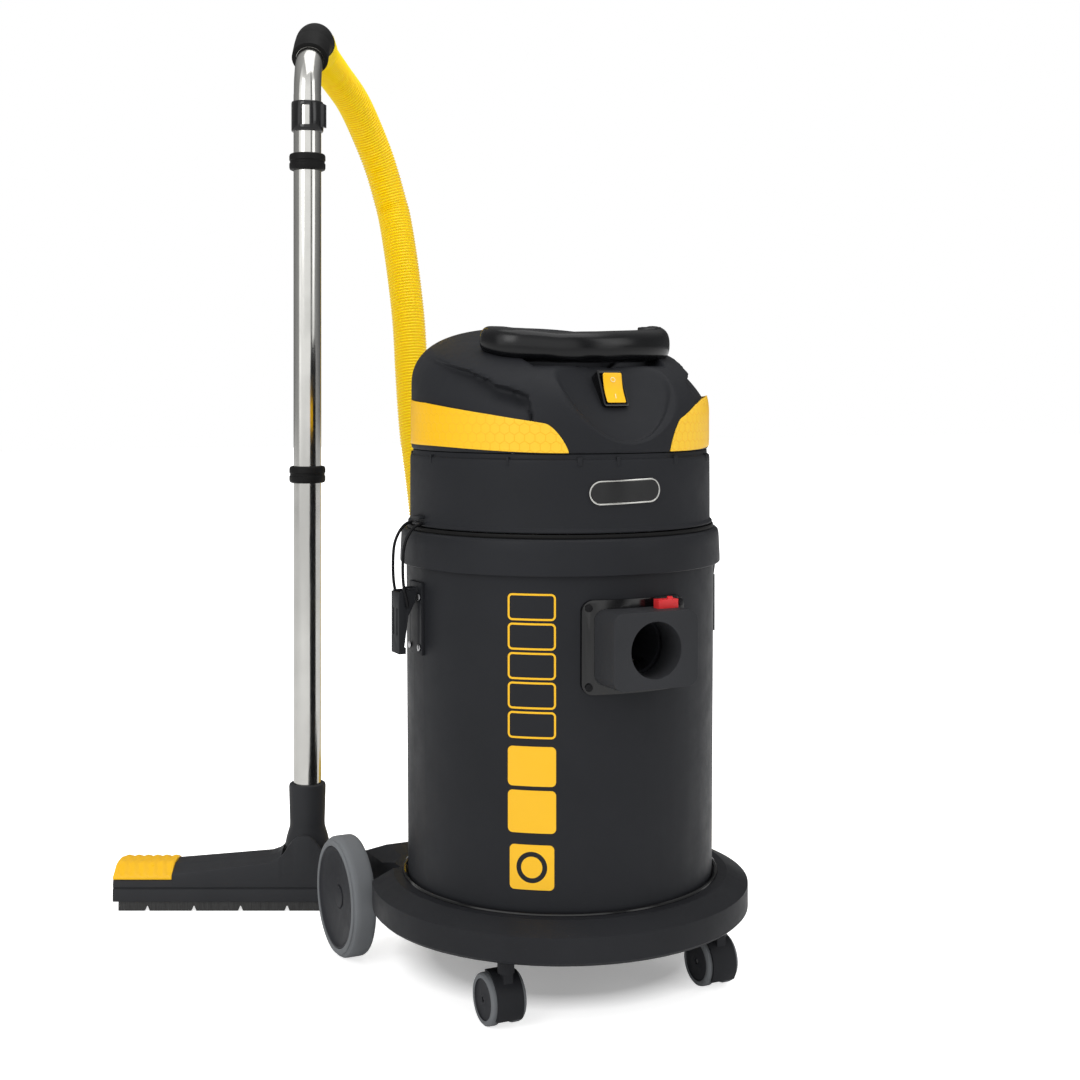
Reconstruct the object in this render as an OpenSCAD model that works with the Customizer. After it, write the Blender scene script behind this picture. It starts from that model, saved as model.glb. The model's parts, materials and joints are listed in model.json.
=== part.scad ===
// Wheeled drum vacuum cleaner for wet and dry use, with its wand, ribbed hose and brush floor tool.
// Millimetres, +Z up. The machine's front, with the hose inlet and the switch, faces -Y.
// The origin is on the ground under the middle of the whole set, without the hose.

/* [Drum] */
// Height of the drum's underside above the ground
drum_z = 84; // [80:1:100]
// Height of the drum wall
drum_h = 422; // [380:1:460]
// Outer radius at the drum's foot
drum_r_foot = 175.5; // [172:0.5:176]
// Outer radius at the drum's mouth
drum_r_mouth = 178; // [177:0.5:179]
// Wall thickness of the drum
drum_wall = 3; // [2.5:0.5:5]
// Height of the rim band round the mouth
band_h = 39; // [30:1:50]
// Outer radius of the rim band
band_r = 185; // [184:0.5:190]
// Thickness of the rubber seal on the rim
seal_h = 4.7; // [3:0.1:8]

/* [Dolly] */
// Radius of the round dolly
dolly_r = 217; // [212:1:230]
// Height of the dolly's lower edge above the ground
dolly_z = 76.5; // [74:0.5:77]
// Height of the dolly's outer wall
dolly_wall_h = 30.5; // [20:0.5:40]
// Height of the sloping shoulder above the wall
dolly_shoulder_h = 11; // [6:0.5:16]
// Width of the sloping shoulder
dolly_shoulder_w = 24; // [12:1:30]
// Distance from the drum axis to the straight rear edge
dolly_rear_y = 195; // [190:1:215]
// How far the rear block between the wheels stands inside the dolly's radius
dolly_rear_inset = 49; // [42:1:57]

/* [Rear wheels] */
// Diameter of a rear wheel
rear_wheel_d = 140; // [130:1:150]
// Width of a rear wheel
rear_wheel_w = 29; // [24:1:34]
// How far a wheel's inner face stands inside the dolly's radius
rear_wheel_inset = 22; // [17:1:27]
// Distance of the axle behind the drum axis
rear_axle_y = 150; // [142:1:154]
// Diameter of the rear axle
rear_axle_d = 12; // [10:1:16]

/* [Castors] */
// Diameter of a castor wheel
castor_d = 55; // [50:1:58]
// Width of one of the two wheels of a castor
castor_wheel_w = 13; // [10:1:15]
// Sideways distance of a castor from the middle
castor_x = 131.5; // [125:0.5:136]
// Distance of a castor's stem in front of the drum axis
castor_y = 135; // [128:1:138]
// Distance of the castor axle behind its stem
castor_trail = 16; // [12:1:20]
// Diameter of the castor stem
stem_d = 10; // [8:1:11]

/* [Head] */
// Height of the lower ring of the head
ring_h = 85; // [75:1:95]
// How far the head ring stands inside the radius of the drum's mouth
ring_inset = 4.5; // [3:0.5:6]
// Height of the domed cover above the ring at the middle
dome_h = 137; // [125:1:145]
// Height of the cover's straight side
dome_side_h = 60; // [50:1:66]
// Rise of the cover's side towards the rear, in parts of the distance
dome_slope = 0.2; // [0.1:0.01:0.25]
// Wall thickness of the cover
cover_wall = 3.5; // [2.5:0.5:4]
// Height of the yellow trim at its front end
trim_h = 32; // [25:1:38]
// Rise of the trim's top edge towards the rear, in parts of the distance
trim_slope = 0.1; // [0.05:0.01:0.16]

/* [Carry handle] */
// Half of the distance between the handle's ends
handle_half = 98; // [90:1:104]
// How far the handle bows forward
handle_bow = 62; // [50:1:66]
// Height of the grip's middle above the head ring
handle_rise = 118; // [116:1:126]
// Height of the grip
grip_h = 34; // [28:1:36]
// Thickness of the grip from front to back
grip_t = 32; // [26:1:34]

/* [Hose inlet] */
// Radius of the inlet bore
inlet_r = 30; // [24:1:32]
// Distance of the inlet axis below the drum's mouth
inlet_drop = 106; // [86:1:136]
// Width of the inlet block
inlet_w = 101; // [90:1:110]
// Height of the inlet block
inlet_h = 81; // [76:1:90]
// Distance of the inlet face from the drum axis
inlet_face = 219; // [212:1:225]

/* [Latches] */
// Half width of a latch lever
lever_half = 12; // [10:1:14]
// Distance of the lever's pivot below the drum's mouth
latch_drop = 60; // [56:1:66]
// Diameter of the latch wire
bail_d = 3; // [2.5:0.1:4]

/* [Filter and motor] */
// Radius of the float cage
cage_r = 70; // [60:1:80]
// Depth of the float cage below the head
cage_h = 190; // [150:1:210]
// Outer radius of the filter cartridge
filter_r = 105; // [95:1:120]
// Diameter of the float ball
ball_d = 60; // [40:1:70]
// Radius of the motor housing
motor_r = 72; // [64:1:80]

/* [Wand] */
// Outer diameter of the chromed tubes
tube_d = 36; // [32:1:40]
// Wall thickness of the tubes
tube_wall = 1.5; // [1:0.1:2.5]
// Height of the lower end of the tubes
tube_z = 130; // [125:1:140]
// Height of the lower collar's middle
collar_low_z = 560; // [500:5:620]
// Height of the upper collar's middle
collar_high_z = 968; // [900:4:1000]
// Height where the top tube starts to bend
bend_z = 1056; // [1050:2:1070]
// Radius of the top tube's bend
bend_r = 70; // [60:1:90]
// Angle of the top tube's bend
bend_angle = 48; // [44:1:52]
// Outer diameter of the rubber elbow
elbow_d = 48; // [44:1:52]

/* [Hose] */
// Outer diameter of the hose over its ribs
hose_d = 49; // [42:1:50]
// Inner diameter of the hose
hose_bore = 38; // [32:1:40]
// Number of ribs
hose_ribs = 196; // [60:1:200]

/* [Floor tool] */
// Length of the floor tool
tool_len = 500; // [420:2:560]
// Depth of the floor tool
tool_depth = 74; // [66:1:84]
// Length of a yellow end cap
end_cap_len = 81; // [50:1:100]
// Height of the tool's skirt above the bristles
skirt_h = 16; // [10:1:20]
// Free length of the bristles
bristle_h = 12; // [8:1:16]

/* [Hidden] */
$fn = 96;
eps = 0.01;

// Fits
gap = 0.3;       // between pieces of different bodies
fit = 0.05;      // radial clearance of a shaft in its bore

// Colours
black = [0.10, 0.10, 0.11];
rubber = [0.14, 0.14, 0.15];
grey = [0.42, 0.44, 0.45];
steel = [0.75, 0.76, 0.77];
yellow = [0.98, 0.78, 0.08];
red = [0.85, 0.14, 0.14];
paper = [0.88, 0.87, 0.82];

// Heights of the stack above the ground
drum_top = drum_z + drum_h;
inlet_z = drum_top - inlet_drop;
latch_z = drum_top - latch_drop;
ring_r = drum_r_mouth - ring_inset;
dolly_rear_x = dolly_r - dolly_rear_inset;
rear_wheel_x = dolly_r - rear_wheel_inset;
band_z = drum_top + 8 - band_h;
band_top = band_z + band_h;
ring_z = band_top + seal_h + gap;
cover_z = ring_z + ring_h;

// The wand stands behind the machine's left rear wheel, and its tool lies at this angle to the front
set_yaw = 26;
wand_x = -190;
wand_y = 357;

// The origin lies under the middle of the set: the tool's far corners, a wheel and the inlet face bound it
wheel_out = rear_wheel_x + rear_wheel_w;
far_x = wand_x - tool_len / 2 * cos(set_yaw) - tool_depth / 2 * sin(set_yaw);
far_y = wand_y + tool_len / 2 * sin(set_yaw) + tool_depth / 2 * cos(set_yaw);
shift_x = -(wheel_out + far_x) / 2;
shift_y = -(far_y - inlet_face) / 2;

function unit(v) = v / norm(v);
function drum_r(z) = drum_r_foot + (drum_r_mouth - drum_r_foot) * (z - drum_z) / drum_h;

module at_origin() translate([shift_x, shift_y, 0]) children();
module at_wand() at_origin() translate([wand_x, wand_y, 0]) children();
module at_tool() at_wand() rotate([0, 0, -set_yaw]) children();
module flip(s) mirror([s < 0 ? 1 : 0, 0, 0]) children();
module on_side(side) flip(side == "left" ? 1 : -1) children();
module ring(r_out, r_in, z0, h) translate([0, 0, z0]) difference() {
    cylinder(r = r_out, h = h);
    translate([0, 0, -1]) cylinder(r = r_in, h = h + 2);
}
module plate(size, r) linear_extrude(size[2]) {
    square([size[0] - 2 * r, size[1]], center = true);
    square([size[0], size[1] - 2 * r], center = true);
    for (x = [-1, 1], y = [-1, 1])
        translate([x * (size[0] / 2 - r), y * (size[1] / 2 - r)]) circle(r);
}

// ---- Tubes swept along a route ----

// Normals carried along a route without twist
function turned(n, t) = unit(n - (n * t) * t);
function tangents(p) = [for (i = [0:len(p) - 1])
    unit(p[min(i + 1, len(p) - 1)] - p[max(i - 1, 0)])];
function normals(t, first) = [for (i = 0, n = turned(first, t[0]); i < len(t);
    i = i + 1, n = i < len(t) ? turned(n, t[i]) : n) n];
// One ring of points per place of the route, with half sizes a (along the normal) and b
function rings(p, first, sides, a, b) =
    let (t = tangents(p), n = normals(t, first))
    [for (i = [0:len(p) - 1]) let (m = cross(t[i], n[i]))
        [for (k = [0:sides - 1]) let (w = 360 * (k + 0.5) / sides)
            p[i] + a[i] * cos(w) * n[i] + b[i] * sin(w) * m]];
function flat(lists) = [for (l = lists) for (v = l) v];
// Walls of triangles between rings first..first+count-1 of n points each
function walls(first, count, n) = [for (i = [0:count - 2], k = [0:n - 1])
    let (a = first + i * n + k, b = first + i * n + (k + 1) % n)
    each [[a, b, a + n], [b, b + n, a + n]]];
function inward(faces) = [for (f = faces) [f[0], f[2], f[1]]];
function fan(first, n, up) = [for (k = [1:n - 2])
    up ? [first, first + k + 1, first + k] : [first, first + k, first + k + 1]];

module solid_sweep(p, first, sides, a, b) {
    r = rings(p, first, sides, a, b);
    polyhedron(flat(r), concat(inward(walls(0, len(p), sides)), fan(0, sides, false),
        fan((len(p) - 1) * sides, sides, true)), convexity = 8);
}

// Catmull-Rom curve through points, then places at equal distances along it
function spline(p, steps) = concat([for (i = [0:len(p) - 2], s = [0:steps - 1])
    let (t = s / steps, p0 = i == 0 ? 2 * p[0] - p[1] : p[i - 1], p1 = p[i], p2 = p[i + 1],
        p3 = i == len(p) - 2 ? 2 * p[i + 1] - p[i] : p[i + 2])
    0.5 * (2 * p1 + (p2 - p0) * t + (2 * p0 - 5 * p1 + 4 * p2 - p3) * t * t
        + (3 * p1 - p0 - 3 * p2 + p3) * t * t * t)], [p[len(p) - 1]]);
function sums(p) = [for (i = 0, s = 0; i < len(p);
    s = s + (i + 1 < len(p) ? norm(p[i + 1] - p[i]) : 0), i = i + 1) s];
function along(p, s, d, i = 0) = i >= len(p) - 2 || s[i + 1] >= d
    ? p[i] + (p[i + 1] - p[i]) * (d - s[i]) / (s[i + 1] - s[i])
    : along(p, s, d, i + 1);
function places(p, count) = let (s = sums(p))
    [for (j = [0:count]) along(p, s, s[len(s) - 1] * j / count)];

// ---- Dolly ----

wall_top = dolly_z + dolly_wall_h;
deck_z = wall_top + dolly_shoulder_h;
shoulder_r = dolly_r - dolly_shoulder_w;
notch_y = rear_axle_y - rear_wheel_d / 2 - 4;
axle_z = rear_wheel_d / 2;
bearing_w = 16;
hollow_in = drum_r_foot + 11;
hollow_out = dolly_r - 5;
hollow_top = wall_top - 3;

module rear_block() intersection() {
    translate([-dolly_rear_x, 0, 0]) rotate([90, 0, 90]) linear_extrude(2 * dolly_rear_x)
        polygon([[notch_y - 16, dolly_z], [dolly_rear_y, dolly_z], [dolly_rear_y, wall_top],
            [dolly_rear_y - dolly_shoulder_w, deck_z], [notch_y - 16, deck_z]]);
    translate([0, dolly_rear_y + 1, 0]) rotate([90, 0, 0]) linear_extrude(dolly_rear_y)
        polygon([[-dolly_rear_x, dolly_z], [dolly_rear_x, dolly_z], [dolly_rear_x, wall_top],
            [dolly_rear_x - 18, deck_z], [18 - dolly_rear_x, deck_z], [-dolly_rear_x, wall_top]]);
}
module dolly_base() color(black) at_origin() difference() {
    union() {
        rotate_extrude() polygon([[0, dolly_z], [dolly_r - 4, dolly_z], [dolly_r, dolly_z + 4],
            [dolly_r, wall_top], [shoulder_r, deck_z], [0, deck_z]]);
        rear_block();
        for (s = [-1, 1]) translate([s * (dolly_rear_x - bearing_w / 2 - 8), rear_axle_y, axle_z])
            translate([-bearing_w / 2, -14, -rear_axle_d]) cube([bearing_w, 28, rear_axle_d + 12]);
    }
    translate([0, 0, drum_z]) cylinder(r = drum_r_foot + 1.2, h = drum_h);
    // hollow underside, left whole where the castor stems sit
    difference() {
        ring(hollow_out, hollow_in, dolly_z - 1, hollow_top - dolly_z + 1);
        for (s = [-1, 1]) translate([s * castor_x, -castor_y, 0]) cylinder(r = 12, h = deck_z);
        translate([-dolly_r, 20, 0]) cube([2 * dolly_r, dolly_r, deck_z]);
    }
    for (s = [-1, 1]) {
        translate([s > 0 ? dolly_rear_x : -dolly_rear_x - dolly_r, notch_y, dolly_z - 1])
            cube([dolly_r, dolly_r, deck_z]);
        translate([s * castor_x, -castor_y, dolly_z - 1]) cylinder(d = stem_d + 2 * fit, h = stem_h + 2);
    }
    translate([-dolly_r, rear_axle_y, axle_z]) rotate([0, 90, 0]) cylinder(d = rear_axle_d + 0.1, h = 2 * dolly_r);
}

// ---- Rear wheels ----

hub_in = dolly_rear_x + gap;
dish_x = rear_wheel_x + 9;
axle_end = dish_x + 6;
rim_r = rear_wheel_d / 2 - 11;

module across_x(x0) translate([x0, rear_axle_y, axle_z]) rotate([0, 90, 0]) children();
module rear_axle() color(steel) at_origin() {
    across_x(-axle_end) cylinder(d = rear_axle_d, h = 2 * axle_end);
    for (s = [-1, 1]) across_x(s > 0 ? axle_end : -axle_end - 5) cylinder(d = rear_axle_d + 8, h = 5);
}
module rear_hub(side) color(grey) at_origin() on_side(side) flip(-1) {
    across_x(0) {
        ring(rear_axle_d / 2 + 9, rear_axle_d / 2 + fit, hub_in, axle_end - gap - hub_in);
        ring(rim_r, rear_axle_d / 2 + 8, rear_wheel_x + 4, 5);
        ring(rim_r, rim_r - 3, rear_wheel_x + 1, rear_wheel_w - 2);
    }
}
module rear_tyre(side) color(grey) at_origin() on_side(side) flip(-1) across_x(rear_wheel_x)
    rotate_extrude() polygon([[rim_r, 0], [rear_wheel_d / 2 - 5, 0], [rear_wheel_d / 2, 4],
        [rear_wheel_d / 2, rear_wheel_w - 7], [rear_wheel_d / 2 - 4, rear_wheel_w - 1.5],
        [rear_wheel_d / 2 - 7, rear_wheel_w], [rim_r, rear_wheel_w]]);

// ---- Castors ----

castor_z = castor_d / 2;
castor_axle_d = 6;
web_half = 7;
wheel_in = web_half + gap;
hood_in = castor_z + 0.7;
hood_out = hood_in + 2.3;
hood_top = castor_z + hood_out;
stem_h = 24;

module at_castor(side) at_origin()
    translate([side == "left" ? -castor_x : castor_x, castor_trail - castor_y, castor_z]) children();
module turned_x(x0) translate([x0, 0, 0]) rotate([0, 90, 0]) children();
module castor_hood(side) color(black) at_castor(side) difference() {
    union() {
        turned_x(-web_half) cylinder(r = castor_z - 5, h = 2 * web_half);
        turned_x(0.5 - web_half) hood_sector(2) translate([10, 0]) square([hood_in - 9, 2 * web_half - 1]);
        turned_x(-15) hood_sector(0) translate([hood_in, 0]) square([hood_out - hood_in, 30]);
        translate([1.5 - web_half, -castor_trail - 6.5, 19]) cube([2 * web_half - 3, 12, hood_out - 17.5]);
        translate([0, -castor_trail, hood_out + 0.5]) cylinder(d = 18, h = dolly_z - gap - hood_top - 0.5);
        translate([0, -castor_trail, hood_out + 1]) cylinder(d = stem_d, h = dolly_z + stem_h - hood_top - 1);
    }
    turned_x(-web_half - 1) cylinder(d = castor_axle_d + 0.1, h = 2 * web_half + 2);
}
// From 35 degrees under the axle in front, over the top
module hood_sector(less) rotate([0, 0, less - 190]) rotate_extrude(angle = 135 - 2 * less) children();
module castor_axle(side) color(steel) at_castor(side)
    turned_x(-web_half - castor_wheel_w + 2) cylinder(d = castor_axle_d, h = 2 * (web_half + castor_wheel_w - 2));
module castor_wheel(side, s) color(grey) at_castor(side) flip(s) turned_x(wheel_in)
    rotate_extrude() polygon([[castor_axle_d / 2 + fit, 0], [castor_z - 2, 0], [castor_z, 2],
        [castor_z, castor_wheel_w - 4], [castor_z - 4, castor_wheel_w], [castor_z - 8, castor_wheel_w],
        [castor_z - 9, castor_wheel_w - 1.5], [castor_axle_d / 2 + fit, castor_wheel_w - 1.5]]);

// ---- Drum, band and seal ----

mouth_in = drum_r_mouth - drum_wall;
touch = 0.1;       // radial seat of pieces wrapped round the drum

module drum_cone(grow, z0 = 0, z1 = 0) let (a = z0 == 0 ? drum_z : z0, b = z1 == 0 ? drum_top : z1)
    translate([0, 0, a]) cylinder(r1 = drum_r(a) + grow, r2 = drum_r(b) + grow, h = b - a);
module inlet_cut(r) translate([inlet_x, 0, inlet_z]) rotate([90, 0, 0]) cylinder(r = r, h = inlet_face + 20);
inlet_x = 3;
inlet_hole_r = inlet_r + 3;

module tank() color(black) at_origin() difference() {
    rotate_extrude() polygon([[0, drum_z], [drum_r_foot - 6, drum_z], [drum_r_foot, drum_z + 6],
        [drum_r_mouth, drum_top], [mouth_in, drum_top], [drum_r_foot - drum_wall, drum_z + 8],
        [drum_r_foot - 8, drum_z + drum_wall], [0, drum_z + drum_wall]]);
    inlet_cut(inlet_hole_r);
    screw_holes();
    for (s = [-1, 1]) flip(s) rivets_at() cylinder(d = 5, h = 40);
}
module rim_band() color(black) at_origin() rotate_extrude() polygon([
    [drum_r(band_z) + touch, band_z], [band_r, band_z], [band_r, band_z + 4],
    [band_r - 1.5, band_top - 5], [band_r - 4, band_top], [mouth_in + 1, band_top],
    [mouth_in + 1, drum_top], [drum_r_mouth + touch, drum_top]]);
module rim_seal() color(rubber) at_origin() ring(band_r - 8, mouth_in + 1, band_top, seal_h);

// ---- Hose inlet ----

plate_t = 4;
plate_w = inlet_w + 25;
plate_h = inlet_h + 19;
block_back = drum_r(inlet_z) + 4;

module inlet_prism(w, h, y0, y1) translate([inlet_x, -y0, inlet_z]) rotate([90, 0, 0])
    plate([w, h, y1 - y0], 12);
module inlet_plate() color(black) at_origin() difference() {
    intersection() {
        inlet_prism(plate_w, plate_h, filter_r, inlet_face);
        drum_cone(plate_t);
    }
    drum_cone(touch);
    inlet_cut(inlet_hole_r);
    screw_holes();
}
button_w = 24;
button_d = 11;
button_x = inlet_x + 25;
button_y = -block_back - 14;
button_z = inlet_z + inlet_h / 2;
button_travel = 4;
module inlet_block() color(black) at_origin() difference() {
    inlet_prism(inlet_w, inlet_h, filter_r, inlet_face);
    drum_cone(plate_t + touch);
    inlet_cut(inlet_r);
    translate([button_x - button_w / 2 - gap, button_y - button_d / 2 - gap, button_z - 8])
        cube([button_w + 2 * gap, button_d + 2 * gap, 20]);
}
module inlet_button() color(red) at_origin() translate([button_x, button_y, button_z - 8 + button_travel + gap]) {
    translate([-button_w / 2, -button_d / 2, 0]) cube([button_w, button_d, 13]);
    translate([button_w / 5, 0, 13]) cylinder(d = 6, h = 2.5);
}
// Places on the plate's face, looking outwards
module screws_at() for (x = [-1, 1], z = [-1, 1]) let (h = inlet_z + z * (plate_h / 2 - 8))
    rotate([0, 0, asin((inlet_x + x * (plate_w / 2 - 7)) / block_back)])
        translate([0, -drum_r(h) - plate_t - 0.05, h]) rotate([90, 0, 0]) children();
module inlet_screws() color(steel) at_origin() screws_at() {
    cylinder(d = 8, h = 2.5);
    translate([0, 0, -plate_t - drum_wall]) cylinder(d = 4, h = plate_t + drum_wall + 1);
}
module screw_holes() screws_at() translate([0, 0, -plate_t - drum_wall - 5])
    cylinder(d = 4.1, h = plate_t + drum_wall + 10);
elbow_end = filter_r + 9;
module inlet_elbow() color(black) at_origin() difference() {
    intersection() {
        union() {
            translate([inlet_x, 0, inlet_z]) rotate([90, 0, 0]) {
                translate([0, 0, elbow_end]) cylinder(r = inlet_r + 2.5, h = 90);
                translate([0, 0, elbow_end + 40]) cylinder(r = inlet_r + 12, h = 50);
            }
        }
        drum_cone(-drum_wall - touch);
    }
    translate([inlet_x, 0, inlet_z]) rotate([90, 0, 0]) translate([0, 0, elbow_end + 3]) cylinder(r = inlet_r - 1, h = 120);
    translate([inlet_x - 22, -elbow_end - 38, inlet_z - 60]) cube([44, 34, 60]);
}

// ---- Latches ----

pivot_x = drum_r_mouth + 10;
bail_x = pivot_x + 7;
bail_z = latch_z - 14;
lever_out = bail_x + 7;
bar_z = ring_z + 4.5;
bar_x = ring_r + 4.5;
strand = lever_half + 3;

module latch_bracket(side) color(black) at_origin() on_side(side) difference() {
    union() {
        intersection() {
            translate([-pivot_x, -18, latch_z - 68]) cube([40, 36, 80]);
            drum_cone(3.5);
        }
        for (s = [-1, 1]) translate([-pivot_x - 4, s * 8 - 1.5, latch_z - 8]) cube([20, 3, 14]);
    }
    drum_cone(touch);
    translate([-pivot_x, -40, latch_z]) rotate([-90, 0, 0]) cylinder(d = 4.1, h = 80);
    rivets_at() cylinder(d = 5, h = 40);
}
module rivets_at() for (y = [-1, 1], z = [-60, -4]) translate([30 - drum_r(latch_z + z), y * 13.6, latch_z + z])
    rotate([0, -90, 0]) children();
module latch_rivets() color(steel) at_origin() for (s = [-1, 1]) flip(s) difference() {
    rivets_at() {
        translate([0, 0, 22]) cylinder(d = 4.9, h = 12);
        translate([0, 0, 33.5]) cylinder(d = 7.4, h = 1.8);
    }
    translate([-mouth_in + 3, -40, 0]) cube([60, 80, 600]);
}
module latch_lever(side) color(black) at_origin() on_side(side) difference() {
    union() {
        for (s = [-1, 1]) translate([0, s * (lever_half - 1), 0]) rotate([90, 0, 0]) linear_extrude(2, center = true)
            polygon([[-pivot_x + 3.5, latch_z + 3.5], [-lever_out, latch_z + 3.5], [-lever_out, latch_z - 60],
                [-lever_out + 4, latch_z - 60], [-bail_x + 2, latch_z - 24], [-pivot_x + 3.5, latch_z - 8]]);
        translate([-lever_out - 2, -lever_half, latch_z - 64]) cube([2.5, 2 * lever_half, 66]);
        translate([-lever_out - 2, -lever_half, latch_z - 66]) cube([8, 2 * lever_half, 7]);
        translate([-pivot_x, -lever_half, latch_z]) rotate([-90, 0, 0]) cylinder(d = 4, h = 2 * lever_half);
    }
    translate([-bail_x, -40, bail_z]) rotate([-90, 0, 0]) cylinder(d = bail_d + 2 * fit, h = 80);
    for (y = [-5, 5]) translate([-lever_out - 3, y - 1.5, latch_z - 46]) cube([5, 3, 30]);
}
bail_side = [[-bail_x, bail_z], [-bail_x - 1.5, bail_z + 8], [-bail_x - 5, bail_z + 24],
    [-bail_x - 6, bail_z + 45], [-bail_x - 4.5, bail_z + 66], [-bail_x + 1, bail_z + 80],
    [-bail_x + 9, bar_z - 2.5], [-bar_x, bar_z]];
module latch_bail(side) color(rubber) at_origin() on_side(side) {
    up = [for (q = bail_side) [q[0], -strand, q[1]]];
    bar = [for (y = [-strand + 2, 0, strand - 2]) [-bar_x, y, bar_z]];
    p = concat(up, bar, [for (i = [len(up) - 1:-1:0]) [up[i][0], strand, up[i][2]]]);
    h = [for (q = p) bail_d / 2];
    solid_sweep(p, [0, 1, 0], 8, h, h);
    for (s = [-1, 1]) translate([-bail_x, s > 0 ? lever_half - 2.5 : -strand, bail_z])
        rotate([-90, 0, 0]) cylinder(d = bail_d, h = strand - lever_half + 2.5);
}

// ---- Head ----

deck_top = ring_z + 4;
suction_r = 24;
screw_r = ring_r - 13.5;
module at_screws() for (a = [45:90:315]) rotate([0, 0, a]) translate([screw_r, 0, 0]) children();
module head_ring() color(black) at_origin() difference() {
    union() {
        ring(ring_r, ring_r - 3.5, ring_z, ring_h);
        ring(ring_r + 2.5, ring_r - 4, ring_z, 3);
        ring(ring_r - 1, suction_r, ring_z, deck_top - ring_z);
        ring(ring_r - 1, screw_r - 8, cover_z - 5, 5);
        for (s = [-1, 1]) flip(s) translate([-ring_r - 6.5, -10, bar_z + 4.5]) cube([10, 20, 3.5]);
    }
    translate([0, 0, cover_z - 6]) at_screws() cylinder(d = 5.2, h = 10);
    // the gland's hole has a moulding draft
    translate([gland_x, ring_r + 10, gland_z]) rotate([90, 0, 0]) cylinder(d1 = 18.1, d2 = 18.3, h = 40);
}

// Height of the cover's outside, with the flattened front that carries the switch
switch_y = -124;
switch_z = 671 - 604 + cover_z;
face_slope = 1.2;
face_crown = 210;
cover_r = ring_r - 1.5;
function dome(x, y) = let (q = min(1, norm([x, y]) / cover_r))
    cover_z + dome_side_h + dome_slope * y + (dome_h - dome_side_h) * pow(1 - pow(q, 2.5), 0.4);
function face(x, y) = switch_z + face_slope * (y - switch_y) + x * x / face_crown;
function cover_top(x, y) = min(dome(x, y), face(x, y));
// The inside keeps its distance from the outside, and from the hand hollow under the grip
hollow_r = 36;
hollow_y = -62;
hollow_z = cover_z + 102;
hollow_half = 75;
function near_hollow(x, y) = abs(x) < hollow_half + 25 && abs(y - hollow_y) < hollow_r + 27;
function cover_in(x, y) = min(cover_top(x, y) - cover_wall,
    near_hollow(x, y) ? hollow_z - hollow_r - cover_wall - 2 : 1000);
cover_sides = 60;
cover_steps = [1, 0.985, 0.95, 0.9, 0.83, 0.74, 0.63, 0.5, 0.35, 0.18];
function cover_ring(r, step, inside) = [for (k = [0:cover_sides - 1])
    let (w = 360 * k / cover_sides, x = r * step * sin(w), y = -r * step * cos(w))
    [x, y, inside ? cover_in(x, y) : cover_top(x, y)]];
function cover_edge(r) = [for (k = [0:cover_sides - 1])
    let (w = 360 * k / cover_sides) [r * sin(w), -r * cos(w), cover_z]];
function shell_points(r, inside) = concat(cover_edge(r),
    flat([for (s = cover_steps) cover_ring(r, s, inside)]),
    [[0, 0, inside ? cover_in(0, 0) : cover_top(0, 0)]]);
shell_count = (len(cover_steps) + 1) * cover_sides + 1;
function cap(first, n, tip) = [for (k = [0:n - 1]) [first + k, first + (k + 1) % n, tip]];
function shell_faces(first) = concat(walls(first, len(cover_steps) + 1, cover_sides),
    cap(first + len(cover_steps) * cover_sides, cover_sides, first + shell_count - 1));
module dome_solid() polyhedron(shell_points(cover_r, false),
    concat(inward(shell_faces(0)), fan(0, cover_sides, false)), convexity = 6);
module dome_shell() polyhedron(
    concat(shell_points(cover_r, false), shell_points(cover_r - cover_wall, true)),
    concat(inward(shell_faces(0)), shell_faces(shell_count),
        [for (k = [0:cover_sides - 1]) let (m = (k + 1) % cover_sides, b = shell_count)
            each [[k, m, b + m], [k, b + m, b + k]]]), convexity = 8);

trim_front = 21;      // degrees from the front to the trim's end
trim_back = 150;
trim_run = 12;        // degrees taken by the trim's rounded end
trim_deep = 2;
module trim_shape(grow) intersection() {
    translate([0, 0, cover_z - grow]) rotate([0, 0, -90 - trim_back]) rotate_extrude(angle = trim_back - trim_front)
        translate([cover_r - trim_deep - grow, 0]) square([trim_deep + 0.4 + 3 * grow, 80]);
    // below the sloping top edge
    rotate([90, 0, 90]) translate([0, 0, -dolly_r]) linear_extrude(dolly_r)
        polygon([[-dolly_r, cover_z - 1], [dolly_r, cover_z - 1],
            [dolly_r, trim_edge(dolly_r) + grow], [-dolly_r, trim_edge(-dolly_r) + grow]]);
}
function trim_edge(y) = cover_z + trim_h + trim_slope * (y + cover_r * cos(trim_front + trim_run));
function trim_end(grow) = let (x0 = cover_r * sin(trim_front), x1 = cover_r * sin(trim_front + trim_run),
    h = trim_h + 3)
    [for (a = [0:15:90]) [-x1 + (x1 - x0 + grow) * cos(a), cover_z + (h + grow) * sin(a)]];
module trim_piece(grow) difference() {
    trim_shape(grow);
    translate([0, -60, 0]) rotate([90, 0, 0]) linear_extrude(dolly_r)
        polygon(concat([[0, cover_z - 5], [-cover_r * sin(trim_front) + grow, cover_z - 5]], trim_end(grow),
            [[-cover_r * sin(trim_front + trim_run), cover_z + 90], [0, cover_z + 90]]));
}
module trim(side) color(yellow) at_origin() on_side(side) trim_piece(0);

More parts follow.
